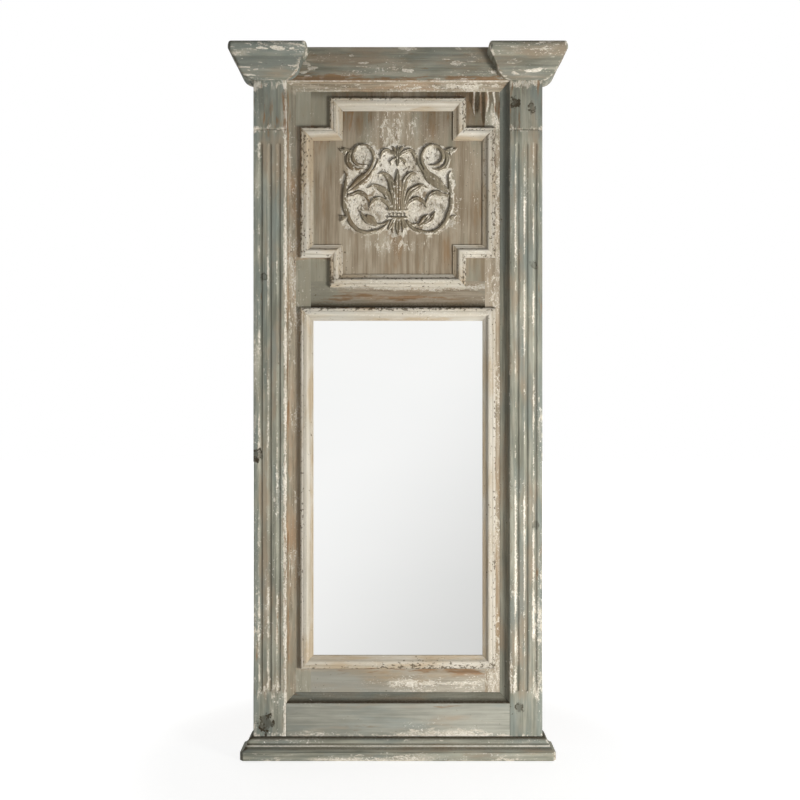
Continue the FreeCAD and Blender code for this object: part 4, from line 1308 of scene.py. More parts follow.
# %% Raw wood
RING_SCALE = (1.6, 34.0, 34.0)
RING_NOISE = (3.0, 0.5, 1)
FIBRE_SCALE = (14.0, 520.0, 520.0)
FIBRE_NOISE = (3.0, 0.6, 2)
RING_COUNT = 9.0
RING_EDGE = (0.1, 0.9)
RING_TONE = 0.55
FIBRE_TONE = 0.45
WOOD_ROUGHNESS = 0.6
FIBRE_ROUGHNESS = 0.3
RING_RELIEF = 0.4
FIBRE_DEPTH = 0.0006


def raw_wood(name, along, dark, light):
    wood = Grained(name, along)
    rings = wood.noise(wood.stretched(wood.run, RING_SCALE), *RING_NOISE)
    fibres = wood.noise(wood.stretched(wood.run, FIBRE_SCALE), *FIBRE_NOISE)
    lines = wood.rise((rings * RING_COUNT) % 1.0, *RING_EDGE)
    wood.connect("Base Color", wood.mixed(lines * RING_TONE + fibres * FIBRE_TONE, dark, light))
    wood.connect("Roughness", WOOD_ROUGHNESS + fibres * FIBRE_ROUGHNESS)
    wood.bump(fibres + lines * RING_RELIEF, FIBRE_DEPTH, RELIEF_STRENGTH)
    return wood.material


BATTEN_TONES = tones((168, 132, 92), (206, 174, 132))
HARDBOARD_TONES = tones((120, 88, 60), (142, 108, 76))
batten_finish = {along: raw_wood(f"batten_wood_{along}", along, *BATTEN_TONES) for along in "xz"}
hardboard_finish = raw_wood("hardboard", "z", *HARDBOARD_TONES)
print("raw wood finishes:", len(batten_finish) + 1)

# %% [markdown]
# ## Steel and mirror
#
# The hangers are plated steel, scuffed by handling, and the glass is a silvered mirror with a faint
# film. The mirror could be a sheet of glass over a sheet of silver, but that costs two more bounces of
# light for the same picture. So both are plain metals that differ in how rough they are.

# %% Steel and mirror
STEEL_TONES = tones((150, 150, 146), (205, 204, 198))
STEEL_ROUGHNESS = 0.28
SCUFF_SCALE = (500.0, 500.0, 160.0)
SCUFF_ROUGHNESS = 0.2
SILVER_TONES = tones((250, 251, 250), (253, 253, 252))
FILM_SCALE = (3.0, 3.0, 9.0)
FILM_DETAIL = 3.0
FILM_EDGE = (0.5, 0.9)
FILM_ROUGHNESS = 0.02


def plated_steel():
    steel = Finish("plated_steel")
    scuffs = steel.noise(steel.stretched(steel.spot(), SCUFF_SCALE))
    steel.connect("Base Color", steel.mixed(scuffs, *STEEL_TONES))
    steel.connect("Roughness", STEEL_ROUGHNESS + scuffs * SCUFF_ROUGHNESS)
    steel.shader.inputs["Metallic"].default_value = 1.0
    return steel.material


def silvered_glass():
    glass = Finish("silvered_glass")
    film = glass.noise(glass.stretched(glass.spot(), FILM_SCALE), FILM_DETAIL)
    glass.connect("Base Color", glass.mixed(film, *SILVER_TONES))
    glass.connect("Roughness", glass.rise(film, *FILM_EDGE) * FILM_ROUGHNESS)
    glass.shader.inputs["Metallic"].default_value = 1.0
    return glass.material


steel_finish = plated_steel()
mirror_finish = silvered_glass()
print("materials made:", len(bpy.data.materials))

# %% [markdown]
# ## Handing a mesh over
#
# Every finished mesh becomes one object at the origin that rides the frame's body and stands for its CAD
# node. A small live bevel rounds its edges, as sanding does. It could be cut into the mesh, but a
# modifier is easier to change later.

# %% From bmesh to piece
EDGE_ROUNDING = 0.0007
EDGE_SEGMENTS = 2
SHARP_ANGLE = math.radians(35)


def to_object(name, work):
    """A bmesh as a new object of the scene."""
    mesh = bpy.data.meshes.new(name)
    work.to_mesh(mesh)
    work.free()
    made = bpy.data.objects.new(name, mesh)
    scene.collection.objects.link(made)
    return made


def hand_over(name, work, finish, node, rounding=EDGE_ROUNDING):
    bmesh.ops.recalc_face_normals(work, faces=work.faces[:])
    piece = to_object(name, work)
    piece.data.materials.append(finish)
    piece.data.shade_smooth()
    piece.data.set_sharp_from_angle(angle=SHARP_ANGLE)
    if rounding:
        edge = piece.modifiers.new("sanded_edges", "BEVEL")
        edge.width = rounding
        edge.segments = EDGE_SEGMENTS
        edge.limit_method = "ANGLE"
        edge.angle_limit = SHARP_ANGLE
    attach(piece, "frame")
    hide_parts(node)


print(f"edges are rounded by {EDGE_ROUNDING * 1000:.1f} mm")

# %% [markdown]
# ## Outlines of the mouldings
#
# A moulding is known by its outline, which a joiner would cut into a plane iron. It could be drawn in
# the editor, but then it wouldn't follow the frame's sizes. So an outline is a ring of points as shares
# of the stick's width and height, and a point with two more shares starts an arc through them.

# %% Outlines of the mouldings
MOULD_SHARES = (
    (0, 0), (1, 0), (1, 0.30), (0.90, 0.30), (0.90, 0.40, 0.74, 0.55), (0.62, 0.88, 0.56, 0.97),
    (0.46, 1), (0.30, 0.92), (0.27, 0.80), (0.24, 0.84, 0.09, 0.78), (0, 0.50),
)
COVE_SHARES = ((0, 0), (1, 0), (1, 0.08, 0.36, 0.36), (0.08, 1), (0, 1))
CROWN_SHARES = (
    (0, 0), (0.10, 0, 0.46, 0.11), (0.63, 0.34), (0.78, 0.55), (0.83, 0.57), (1, 0.78),
    (1, 0.86, 0.94, 0.955), (0.80, 1), (0, 1),
)
BASE_SHARES = (
    (0, 0), (1, 0), (1, 0.38, 0.72, 0.46), (0.56, 0.64), (0.48, 0.66, 0.36, 0.88), (0.08, 1), (0, 1),
)
print("corners in the raised moulding:", len(MOULD_SHARES))

# %% [markdown]
# ## From shares to points
#
# A plane iron leaves smooth curves, so the outline needs more points on its arcs. Blender could bevel a
# curve object along the stick, but then the outline's points couldn't carry values. So every arc is
# worked out here from its start, a point on the way and its end.

# %% From shares to points
ARC_STEPS = 8


def arc_points(start, via, stop):
    """Points on the arc from start through via, without the stop."""
    (ax, ay), (bx, by), (cx, cy) = start, via, stop
    a, b, c = (point.length_squared for point in (start, via, stop))
    scale = 2 * (ax * (by - cy) + bx * (cy - ay) + cx * (ay - by))
    x = (a * (by - cy) + b * (cy - ay) + c * (ay - by)) / scale
    y = (a * (cx - bx) + b * (ax - cx) + c * (bx - ax)) / scale
    middle = Vector((x, y))
    first, half, last = (math.atan2(p.y - y, p.x - x) for p in (start, via, stop))
    turn = (last - first) % math.tau
    if (half - first) % math.tau > turn:
        turn -= math.tau
    radius = (start - middle).length
    angles = [first + turn * step / ARC_STEPS for step in range(ARC_STEPS)]
    return [middle + Vector((math.cos(angle), math.sin(angle))) * radius for angle in angles]


def outline(shares, width, height):
    spots = [Vector((share[0] * width, share[1] * height)) for share in shares]
    points = []
    for share, spot, following in zip(shares, spots, spots[1:] + spots[:1]):
        if len(share) == 2:
            points.append(spot)
        else:
            points += arc_points(spot, Vector((share[2] * width, share[3] * height)), following)
    return points


print("outline points:", len(outline(MOULD_SHARES, 1, 1)), "in the raised moulding")

# %% [markdown]
# ## Hollows of an outline
#
# Dust stays where a finger can't reach, and the paint also darkens the hollows as painted shade. The
# paint could look for hollows while it renders, but the outline knows them exactly. A point of the
# outline lies in a hollow when a straight line between two other points passes over it, and the height
# of that line above it says how deep it lies.

# %% Hollows of an outline
HOLLOW_DEPTH = 0.004
VIEWER = Vector((0, 1))


def hollows(points, outward):
    """How deep each point lies below the lines between all others, 0 to 1."""
    seat = Vector((-outward.y, outward.x))
    places = [(point.dot(seat), point.dot(outward)) for point in points]
    depths = []
    for here, level in places:
        lines = [
            low_level + (high_level - low_level) * (here - low) / (high - low)
            for low, low_level in places for high, high_level in places if low < here < high
        ]
        deepest = max([line - level for line in lines], default=0.0)
        depths.append(min(max(deepest, 0.0) / HOLLOW_DEPTH, 1.0))
    return depths


mould_depths = hollows(outline(MOULD_SHARES, mould_width, mould_height), VIEWER)
print("points in hollows of the raised moulding:", sum(depth > 0 for depth in mould_depths))

# %% [markdown]
# ## Cutting a stick
#
# A moulding is planed as one long stick and cut to length with mitred ends. A curve swept round the
# frame would be quicker, but it would have no joints, and the grain would bend at the corners. So the
# outline is extruded along the stick and cut by bisecting planes, just as a saw would. Every point is
# told its hollow and its place across the stick while it is still in the outline, and the extrusion
# hands both on.


# %% Cutting a stick
def saw(work, place, normal):
    """Cut the mesh on a plane, drop what lies beyond it and close the cut."""
    geometry = work.verts[:] + work.edges[:] + work.faces[:]
    bmesh.ops.bisect_plane(work, geom=geometry, plane_co=place, plane_no=normal, clear_outer=True)
    close_ends(work)


def close_ends(work):
    bmesh.ops.holes_fill(work, edges=[edge for edge in work.edges if edge.is_boundary], sides=0)


def ring_edges(work, ring):
    return [work.edges.new((ring[index - 1], ring[index])) for index in range(len(ring))]


def stick(points, depths, length, ends, width):
    """Stick along +X with its seat at y = 0. Each end is square, or a mitre that leans in or out."""
    work = bmesh.new()
    hollow = work.verts.layers.float.new("hollow")
    across = work.verts.layers.float.new("across")
    start = -width if ends[0] == "out" else 0.0
    stop = length + (width if ends[1] == "out" else 0.0)
    ring = [work.verts.new((start, *point)) for point in points]
    for vert, point, depth in zip(ring, points, depths):
        vert[hollow], vert[across] = depth, point.x / width
    made = bmesh.ops.extrude_edge_only(work, edges=ring_edges(work, ring))["geom"]
    fresh = [item for item in made if isinstance(item, bmesh.types.BMVert)]
    bmesh.ops.translate(work, verts=fresh, vec=(stop - start, 0, 0))
    close_ends(work)
    for side, end in enumerate(ends):
        if end != "square":
            saw(work, (length * side, 0, 0), Vector((2 * side - 1, 1 if end == "in" else -1, 0)))
    return work


cove_points = outline(COVE_SHARES, 1, 1)
sample = stick(cove_points, hollows(cove_points, VIEWER), 3, ("in", "in"), 1)
print("a mitred cove stick has", len(sample.faces), "faces")
sample.free()

# %% [markdown]
# ## Walking round a frame
#
# The mouldings of the field run round it anticlockwise, seen from the front: rectangles, and a cross
# round the carved panel. The place and the mitres of every stick could be written down one by one. But a
# frame is also a walk: go this far, turn left or right. The turns say how the ends are mitred, so a list
# of lengths and turns is enough.

# %% Walking round a frame
LEFT = 90
RIGHT = -90
AHEAD = {0: (1, 0), 90: (0, 1), 180: (-1, 0), 270: (0, -1)}


def walk(x, z, steps):
    """Sticks laid end to end from (x, z), each step as (name, length, turn at its end)."""
    runs = []
    angle, turn_before = 0, steps[-1][2]
    for name, length, turn in steps:
        ends = tuple("in" if corner == LEFT else "out" for corner in (turn_before, turn))
        runs.append((name, x, z, length, ends, angle))
        x += AHEAD[angle][0] * length
        z += AHEAD[angle][1] * length
        angle, turn_before = (angle + turn) % 360, turn
    return runs


def rectangle(half, low, high):
    lengths = {"bottom": 2 * half, "right": high - low, "top": 2 * half, "left": high - low}
    return walk(-half, low, [(name, length, LEFT) for name, length in lengths.items()])


def cross():
    wide, tall = 2 * arm_half, arm_high_z - arm_low_z
    step, rise = frame_half - arm_half, arm_low_z - panel_low_z
    return walk(-arm_half, panel_low_z, (
        ("bottom", wide, LEFT), ("lower_right_rise", rise, RIGHT), ("lower_right_step", step, LEFT),
        ("right", tall, LEFT), ("upper_right_step", step, RIGHT), ("upper_right_rise", rise, LEFT),
        ("top", wide, LEFT), ("upper_left_rise", rise, RIGHT), ("upper_left_step", step, LEFT),
        ("left", tall, LEFT), ("lower_left_step", step, RIGHT), ("lower_left_rise", rise, LEFT),
    ))


print("sticks in the cross:", len(cross()))

# %% [markdown]
# ## Mouldings on the field
#
# Three mouldings lie on the recessed field: a hollow cove round its edge, and the same raised moulding
# twice, as a cross round the carved panel and as a rectangle round the glass. They could be one mesh
# each, but a joiner nails on single sticks, and their grain has to turn with them. So each stick is a
# piece of its own.

# %% Mouldings on the field
cove_height = field_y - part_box("cove_bottom")[0].y


def upright_place(x, z, angle):
    """Stick on the field: x runs along the outline, y points inwards, z to the viewer."""
    turn = Matrix.Rotation(-math.radians(angle), 4, "Y") @ Matrix.Rotation(math.radians(90), 4, "X")
    return Matrix.Translation((x, field_y, z)) @ turn


def lay_mouldings(prefix, runs, shares, width, height, finish):
    points = outline(shares, width, height)
    depths = hollows(points, VIEWER)
    for name, x, z, length, ends, angle in runs:
        work = stick(points, depths, length, ends, width)
        bmesh.ops.transform(work, matrix=upright_place(x, z, angle), verts=work.verts[:])
        coat = finish.get(name) or finish["x" if angle % 180 == 0 else "z"]
        hand_over(f"{prefix}_{name}_worn", work, coat, f"{prefix}_{name}")
    print(prefix, len(runs), "sticks of", len(points), "outline points")


cove_runs = rectangle(recess_half, rail_top_z, crown_z)
mirror_runs = rectangle(frame_half, mirror_low_z, mirror_high_z)
lay_mouldings("cove", cove_runs, COVE_SHARES, cove_width, cove_height, cove_finish)
lay_mouldings("panel_mould", cross(), MOULD_SHARES, mould_width, mould_height, mould_finish)
lay_mouldings("mirror_mould", mirror_runs, MOULD_SHARES, mould_width, mould_height, mould_finish)

# %% [markdown]
# ## Sticks of the capitals and the base
#
# The capitals and the base are mouldings too, but they go round the outside of the frame, with a front
# stick and returns to the wall. They could be walked like the field's mouldings, but some returns end
# square against the wall or the rail. So each stick has its own row.

# %% Sticks of the capitals and the base
crown_out = face_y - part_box("capital_left_front")[0].y
crown_tall = top_z - crown_z
base_out = face_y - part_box("base_front")[0].y
pilaster_width = front_half - recess_half
frame_depth = back_y - face_y
# Each stick as its node, length, ends, angle and the place of its start
CROWN_RUNS = (
    ("capital_left_front", pilaster_width, ("out", "out"), 180, -recess_half, face_y),
    ("capital_left_outer_return", frame_depth, ("out", "square"), 90, -front_half, face_y),
    ("capital_left_inner_return", 0.0, ("square", "out"), -90, -recess_half, face_y),
    ("capital_right_front", pilaster_width, ("out", "out"), 180, front_half, face_y),
    ("capital_right_outer_return", frame_depth, ("square", "out"), -90, front_half, back_y),
    ("capital_right_inner_return", 0.0, ("out", "square"), 90, recess_half, face_y),
)
BASE_RUNS = (
    ("base_front", 2 * front_half, ("out", "out"), 180, front_half, face_y),
    ("base_return_left", frame_depth, ("out", "square"), 90, -front_half, face_y),
    ("base_return_right", frame_depth, ("square", "out"), -90, front_half, back_y),
)
print("sticks:", len(CROWN_RUNS), "in the capitals,", len(BASE_RUNS), "in the base")

# %% [markdown]
# ## Laying the capitals and the base
#
# The sticks are turned to their side and meet in outer mitres. On the real mirror these corners have
# been knocked for years. They could be bevelled, but a knock takes off a flat chip. So a last cut across
# the corner takes the sharp point off.

# %% Laying the capitals and the base
CORNER_WEAR = 0.006
ROUND_ROUNDING = 0.0018
AWAY_FROM_FRAME = Vector((1, 0))


def level_place(x, y, z, angle):
    """Stick round the outside: x runs along the side, y points outwards, z up."""
    return Matrix.Translation((x, y, z)) @ Matrix.Rotation(math.radians(angle), 4, "Z")


def lay_rounds(runs, shares, out, tall, z, finish, corners):
    points = outline(shares, out, tall)
    depths = hollows(points, AWAY_FROM_FRAME)
    for name, length, ends, angle, x, y in runs:
        work = stick(points, depths, length, ends, out)
        bmesh.ops.transform(work, matrix=level_place(x, y, z, angle), verts=work.verts[:])
        for corner_x, corner_y, away_x in corners:
            away = Vector((away_x, -1, 0)).normalized()
            saw(work, Vector((corner_x, corner_y, 0)) - away * CORNER_WEAR, away)
        coat = finish["x" if angle == 180 else "y"]
        hand_over(f"{name}_worn", work, coat, name, ROUND_ROUNDING)
    print(len(runs), "sticks laid round at height", round(z, 3))


for runs, side in ((CROWN_RUNS[:3], -1), (CROWN_RUNS[3:], 1)):
    outer = (side * (front_half + crown_out), face_y - crown_out, side)
    inner = (side * (recess_half - crown_out), face_y - crown_out, -side)
    lay_rounds(runs, CROWN_SHARES, crown_out, crown_tall, crown_z, crown_finish, (outer, inner))
foot_corners = [(side * (front_half + base_out), face_y - base_out, side) for side in (-1, 1)]
lay_rounds(BASE_RUNS, BASE_SHARES, base_out, foot_z, 0.0, base_finish, foot_corners)

# %% [markdown]
# ## A board
#
# Pilasters and rails are planed boards with softened edges. The CAD boxes have sharp ones, which never
# catch the light. A live bevel could round them, but the flutes have to be cut into a finished board. So
# a cube is scaled to the board's box and its edges are bevelled at once.

# %% A board
BOARD_ROUNDING = 0.0016


def board_work(low, high):
    work = bmesh.new()
    bmesh.ops.create_cube(work, size=1.0)
    bmesh.ops.scale(work, vec=high - low, verts=work.verts[:])
    bmesh.ops.translate(work, vec=(low + high) / 2, verts=work.verts[:])
    rounding = {"offset": BOARD_ROUNDING, "segments": 3, "profile": 0.5}
    bmesh.ops.bevel(work, geom=work.edges[:], affect="EDGES", material=-1, **rounding)
    return work


print(f"boards are rounded by {BOARD_ROUNDING * 1000:.1f} mm")

# %% [markdown]
# ## A cutter for the flutes
#
# A flute is a round-bottomed groove that ends in a quarter ball, because the cutter is a ball-nosed bit.
# The groove could be modelled into the board's faces, but its ends are hard to build by hand. So each
# flute is cut with a capsule: a ball that is split at its middle and drawn apart. The neck line is cut
# with a square bar on its edge.

# %% A cutter for the flutes
NECK_DEPTH = 0.003
CUT_OVERRUN = 0.004
BALL_SEGMENTS = 56


def cutter_work(side):
    """Three flute capsules and the neck bar of one pilaster."""
    work = bmesh.new()
    radius = ((FLUTE_WIDTH / 2) ** 2 + FLUTE_DEPTH ** 2) / (2 * FLUTE_DEPTH)
    ball_segments = {"u_segments": BALL_SEGMENTS, "v_segments": BALL_SEGMENTS // 2}
    tall = flute_high_z - flute_low_z - 2 * radius
    for number in range(FLUTE_COUNT):
        x = side * pilaster_middle + (number - 1) * FLUTE_PITCH
        ball = bmesh.ops.create_uvsphere(work, radius=radius, **ball_segments)["verts"]
        bmesh.ops.translate(work, verts=[v for v in ball if v.co.z > radius * 0.01], vec=(0, 0, tall))
        bmesh.ops.translate(work, verts=ball, vec=(x, face_y + FLUTE_DEPTH - radius, flute_low_z + radius))
    bar_size = NECK_DEPTH * math.sqrt(2)
    bar = bmesh.ops.create_cube(work, size=bar_size)["verts"]
    bmesh.ops.rotate(work, verts=bar, matrix=Matrix.Rotation(math.radians(45), 3, "X"))
    bmesh.ops.scale(work, verts=bar, vec=((pilaster_width + CUT_OVERRUN) / bar_size, 1, 1))
    bmesh.ops.translate(work, verts=bar, vec=(side * pilaster_middle, face_y, crown_z - NECK_DROP))
    return work


print("flutes to cut in each pilaster:", FLUTE_COUNT)

# %% [markdown]
# ## Fluted pilasters
#
# The pilasters carry the capitals and run the full height of the mirror. A boolean takes the cutter out
# of each board. It could stay live on the object, but then the cutter would have to stay in the scene.
# So the cut is worked out once, and its result becomes the piece.


# %% Fluted pilasters
def as_modified(item):
    """What an object's modifiers make of it, as a bmesh. The object is used up."""
    bpy.context.view_layer.update()
    result = bmesh.new()
    result.from_object(item, bpy.context.evaluated_depsgraph_get())
    bpy.data.objects.remove(item)
    return result


def carved_board(low, high, side):
    board = to_object("uncut_board", board_work(low, high))
    cutter = to_object("cutter", cutter_work(side))
    cut = board.modifiers.new("cut", "BOOLEAN")
    cut.object = cutter
    cut.solver = "EXACT"
    cut.use_self = True
    result = as_modified(board)
    bpy.data.objects.remove(cutter)
    return result


for side, name in ((-1, "pilaster_left"), (1, "pilaster_right")):
    work = carved_board(*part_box(name), side)
    print(name, len(work.faces), "faces")
    hand_over(f"{name}_fluted", work, pilaster_finish[side], name, 0.0)

# %% [markdown]
# ## Rails
#
# Between the pilasters run a top and a bottom rail. They could keep their CAD shapes, but their edges
# lie in full view. So they are made as boards with softened edges, and nothing is cut into them.

# %% Rails
for name, finish in (("top_rail", top_rail_finish), ("bottom_rail", bottom_rail_finish)):
    hand_over(f"{name}_worn", board_work(*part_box(name)), finish, name, 0.0)
print(f"rails of {2 * recess_half:.3f} m between the pilasters")

# %% [markdown]
# ## Strokes of a scroll
#
# The carving is an acanthus pattern, which a carver would first draw on the board. It could be sculpted
# freely, but a drawing is easier to correct. So each stem and leaf is a line of points on the right
# half, with its width at the start, the middle and the end. Both halves are made from the same strokes.

# %% Strokes of a scroll
# Each stroke as its kind, its points in millimetres from the middle of the lower edge, and its widths
SCROLL_STROKES = (
    ("stem", (
        (22, 36), (29, 25), (41, 16), (58, 11), (75, 8), (92, 13), (105, 22), (116, 36), (123, 54)),
     (6, 9, 12)),
    ("stem", (
        (121, 50), (128, 68), (129, 87), (129, 98), (127, 113), (125, 130), (123, 145), (129, 157)),
     (12, 11, 2)),
    ("stem", ((22, 38), (34, 29), (54, 28)), (4, 5, 6)),
    ("leaf", ((50, 25), (60, 33), (68, 43), (77, 52)), (7, 19, 1)),
    ("leaf", ((62, 28), (74, 35), (83, 46), (90, 60)), (6, 11, 1)),
    ("leaf", ((68, 80), (75, 94), (85, 102), (95, 104), (107, 99), (122, 96)), (2, 12, 8)),
    ("leaf", ((62, 160), (70, 149), (79, 140), (92, 130), (105, 119), (122, 106)), (8, 25, 9)),
    ("stem", ((47, 187), (50, 174), (58, 160), (68, 148)), (3, 6, 5)),
    ("stem", (
        (80, 145), (66, 163), (58, 180), (58, 194), (64, 208), (75, 217), (86, 218), (97, 215), (105, 206)),
     (8, 8, 9)),
    ("stem", ((104, 208), (109, 194), (106, 181), (96, 172), (84, 170), (74, 171)), (9, 8, 2)),
    ("leaf", ((104, 210), (115, 201), (120, 184), (114, 168), (100, 160), (82, 163)), (3, 12, 1)),
    ("leaf", ((112, 205), (124, 207), (133, 214)), (3, 9, 1)),
    ("leaf", ((120, 206), (133, 205), (143, 212)), (4, 8, 1)),
    ("leaf", ((122, 209), (127, 203), (128, 194)), (5, 9, 1)),
    ("leaf", ((120, 42), (131, 45), (142, 50)), (5, 8, 1)),
    ("leaf", ((121, 45), (130, 42), (139, 34)), (5, 9, 1)),
    ("stem", ((126, 44), (130, 43), (134, 42)), (6, 9, 6)),
)
print("strokes in a scroll:", len(SCROLL_STROKES))

# %% [markdown]
# ## Strokes of the palmette
#
# Between the scrolls stands a palmette, a bunch of leaves that is tied with a band of beads. Its side
# leaves are drawn once and mirrored. Leaves and bands that lie across the middle could be halved too,
# but would show a seam, so they have a list of their own.

# %% Strokes of the palmette
PALMETTE_STROKES = (
    ("leaf", ((9, 60), (10, 85), (13, 108), (18, 134), (25, 144), (35, 151), (48, 149)), (7, 15, 1)),
    ("leaf", ((14, 62), (20, 84), (29, 105), (41, 114), (58, 121), (75, 114)), (6, 15, 1)),
    ("leaf", ((18, 62), (24, 76), (32, 84), (46, 90), (58, 85), (65, 77), (69, 67)), (5, 11, 1)),
    ("stem", ((6, 62), (7, 95), (9, 118)), (3, 4, 1)),
    ("stem", ((16, 62), (23, 90), (30, 103)), (3, 4, 1)),
    ("leaf", ((8, 44), (16, 28), (23, 14)), (7, 12, 2)),
    ("stem", ((10, 30), (13, 16), (11, 8)), (5, 5, 2)),
    ("stem", ((8, 52), (9, 52), (10, 52)), (6, 7, 6)),
    ("stem", ((17, 52), (18, 52), (19, 52)), (6, 7, 6)),
)
PALMETTE_MIDDLE = (
    ("leaf", ((0, 60), (0, 90), (0, 118), (0, 140), (0, 162)), (8, 19, 1)),
    ("stem", ((-25, 63), (0, 61), (25, 63)), (6, 8, 6)),
    ("stem", ((-24, 44), (0, 42), (24, 44)), (6, 9, 6)),
    ("stem", ((-1, 52), (0, 52), (1, 52)), (6, 7, 6)),
    ("leaf", ((0, 46), (0, 26), (0, 2)), (8, 13, 2)),
)
print("strokes in the palmette:", 2 * len(PALMETTE_STROKES) + len(PALMETTE_MIDDLE))

# %% [markdown]
# ## Strokes of the crest
#
# A small crest of curled leaves joins the scrolls above the palmette. It could be drawn with either, but
# in the frame it is a piece of its own. So it has its own strokes, again one half and a middle leaf.

# %% Strokes of the crest
CREST_STROKES = (
    ("leaf", ((2, 190), (9, 198), (19, 203), (30, 206), (38, 198), (42, 183)), (5, 11, 2)),
    ("stem", ((0, 185), (6, 186), (13, 183), (18, 178), (16, 171)), (4, 7, 2)),
    ("leaf", ((2, 200), (8, 209), (13, 217)), (3, 7, 1)),
)
CREST_MIDDLE = (("leaf", ((0, 168), (0, 180), (0, 200), (0, 219)), (4, 11, 1)),)
print("strokes in the crest:", 2 * len(CREST_STROKES) + len(CREST_MIDDLE))

# %% [markdown]
# ## A smooth line
#
# A carver's line has no corners. The points could be joined by a Bezier curve with handles, but then
# every handle has to be set. So the line bends by itself through the points: at each one it heads along
# the line between its two neighbours.

# %% A smooth line
STEPS_PER_SPAN = 5


def smooth_line(points):
    """Points of a smooth line through hand-set points, several to each span."""
    ends = [points[0] * 2 - points[1], *points, points[-1] * 2 - points[-2]]
    line = []
    for before, start, stop, after in zip(ends, ends[1:], ends[2:], ends[3:]):
        for step in range(STEPS_PER_SPAN):
            t = step / STEPS_PER_SPAN
            curve = start * 2 + (stop - before) * t
            curve += (before * 2 - start * 5 + stop * 4 - after) * t ** 2
            curve += (start * 3 - before - stop * 3 + after) * t ** 3
            line.append(curve / 2)
    return [*line, points[-1]]


print("points to each span:", STEPS_PER_SPAN)

# %% [markdown]
# ## Sections and stations
#
# A carved stem is round on top, and a leaf has a vein down its middle. So each kind has its own section.
# A curve object could carry a section along the line, but it would scale width and height together. Here
# the section is set up at every station of the line and scaled to the width there, and narrow ends are
# also lower, as a gouge leaves them.

# %% Sections and stations
MILLIMETRE = 0.001
RELIEF = field_y - carving_low.y
# Half sections from the outside to the middle, as shares of the half width and the height
HALF_SECTION_SHARES = {
    "stem": ((1, 0), (0.86, 0.50), (0.5, 0.88), (0, 1)),
    "leaf": ((1, 0), (0.82, 0.62), (0.45, 0.96), (0.14, 0.88), (0, 0.66)),
}
STROKE_SWELL = 1.15
NARROW_WIDTH = 0.009
LEAST_RELIEF_SHARE = 0.45


def section(kind):
    half = HALF_SECTION_SHARES[kind]
    return [(-across, up) for across, up in half] + [*reversed(half[:-1])]


def station(line, index, widths):
    """Where the section stands at one point of the line, turned along it and scaled."""
    heading = line[min(index + 1, len(line) - 1)] - line[max(index - 1, 0)]
    share = index / (len(line) - 1)
    tip, middle = widths[0 if share < 0.5 else 2], widths[1]
    width = (tip + (middle - tip) * math.sin(math.pi * min(share, 1 - share))) * MILLIMETRE * STROKE_SWELL
    tall = RELIEF * min(1.0, LEAST_RELIEF_SHARE + (1 - LEAST_RELIEF_SHARE) * width / NARROW_WIDTH)
    turn = Matrix.Rotation(math.atan2(heading.y, heading.x), 4, "Z")
    return Matrix.Translation((*line[index], 0)) @ turn @ Matrix.Diagonal((1, width / 2, tall, 1))


print("section points:", {kind: len(section(kind)) for kind in HALF_SECTION_SHARES})

# %% [markdown]
# ## Drawing a stroke
#
# A stem or leaf of the real carving swells and narrows along its length. It could be lofted from a list
# of rings, but extruding needs only the first one: its section is extruded from station to station, and
# each step is moved, turned and scaled to the next station.


# %% Drawing a stroke
def stroke(work, kind, points, widths, hand):
    """One stem or leaf: its section, extruded from station to station."""
    line = smooth_line([Vector((hand * u, v)) * MILLIMETRE for u, v in points])
    stations = [station(line, index, widths) for index in range(len(line))]
    ring = [work.verts.new(stations[0] @ Vector((0, across, up))) for across, up in section(kind)]
    edges = ring_edges(work, ring)
    work.faces.new(ring)
    for before, after in zip(stations, stations[1:]):
        made = bmesh.ops.extrude_edge_only(work, edges=edges)["geom"]
        fresh = [item for item in made if isinstance(item, bmesh.types.BMVert)]
        bmesh.ops.transform(work, matrix=after @ before.inverted(), verts=fresh)
        edges = [e for e in made if isinstance(e, bmesh.types.BMEdge) and all(v in fresh for v in e.verts)]
    bmesh.ops.holes_fill(work, edges=edges, sides=0)


trial = bmesh.new()
stroke(trial, *CREST_MIDDLE[0], 1)
print("faces of one leaf before melting:", len(trial.faces))
trial.free()

# %% [markdown]
# ## Melting the strokes together
#
# Where stems meet, a carver leaves a soft junction. Joining the strokes by a boolean would leave hard
# creases there. So all strokes of one piece are melted into one skin by a voxel remesh, and the skin is
# smoothed a little.

# %% Melting the strokes together
VOXEL = 0.0008
SOFTENING = 0.5
SOFTENING_ROUNDS = 2


def melted(work):
    """The strokes as one skin, a little smoothed."""
    bmesh.ops.recalc_face_normals(work, faces=work.faces[:])
    rough = to_object("strokes", work)
    skin = rough.modifiers.new("melt", "REMESH")
    skin.mode = "VOXEL"
    skin.voxel_size = VOXEL
    soft = rough.modifiers.new("soften", "SMOOTH")
    soft.factor = SOFTENING
    soft.iterations = SOFTENING_ROUNDS
    return as_modified(rough)


print(f"voxels of {VOXEL * 1000:.1f} mm")

# %% [markdown]
# ## Four pieces of carving
#
# Such a carving is often applied in pieces, here a palmette, a crest and two scrolls. One skin for all
# would be simpler, but then the pieces couldn't be taken apart. Each is drawn flat, melted, and then
# stood up on the panel.

# %% Four pieces of carving
BOTH_HANDS = (-1, 1)


def carve(name, strokes, hands, middle=()):
    work = bmesh.new()
    for hand in hands:
        for one in strokes:
            stroke(work, *one, hand)
    for one in middle:
        stroke(work, *one, 1)
    work = melted(work)
    place = Matrix.Translation((0, field_y, carving_low.z)) @ Matrix.Rotation(math.radians(90), 4, "X")
    bmesh.ops.transform(work, matrix=place, verts=work.verts[:])
    print(name, len(work.faces), "faces")
    hand_over(f"{name}_relief", work, carving_finish, name, 0.0)


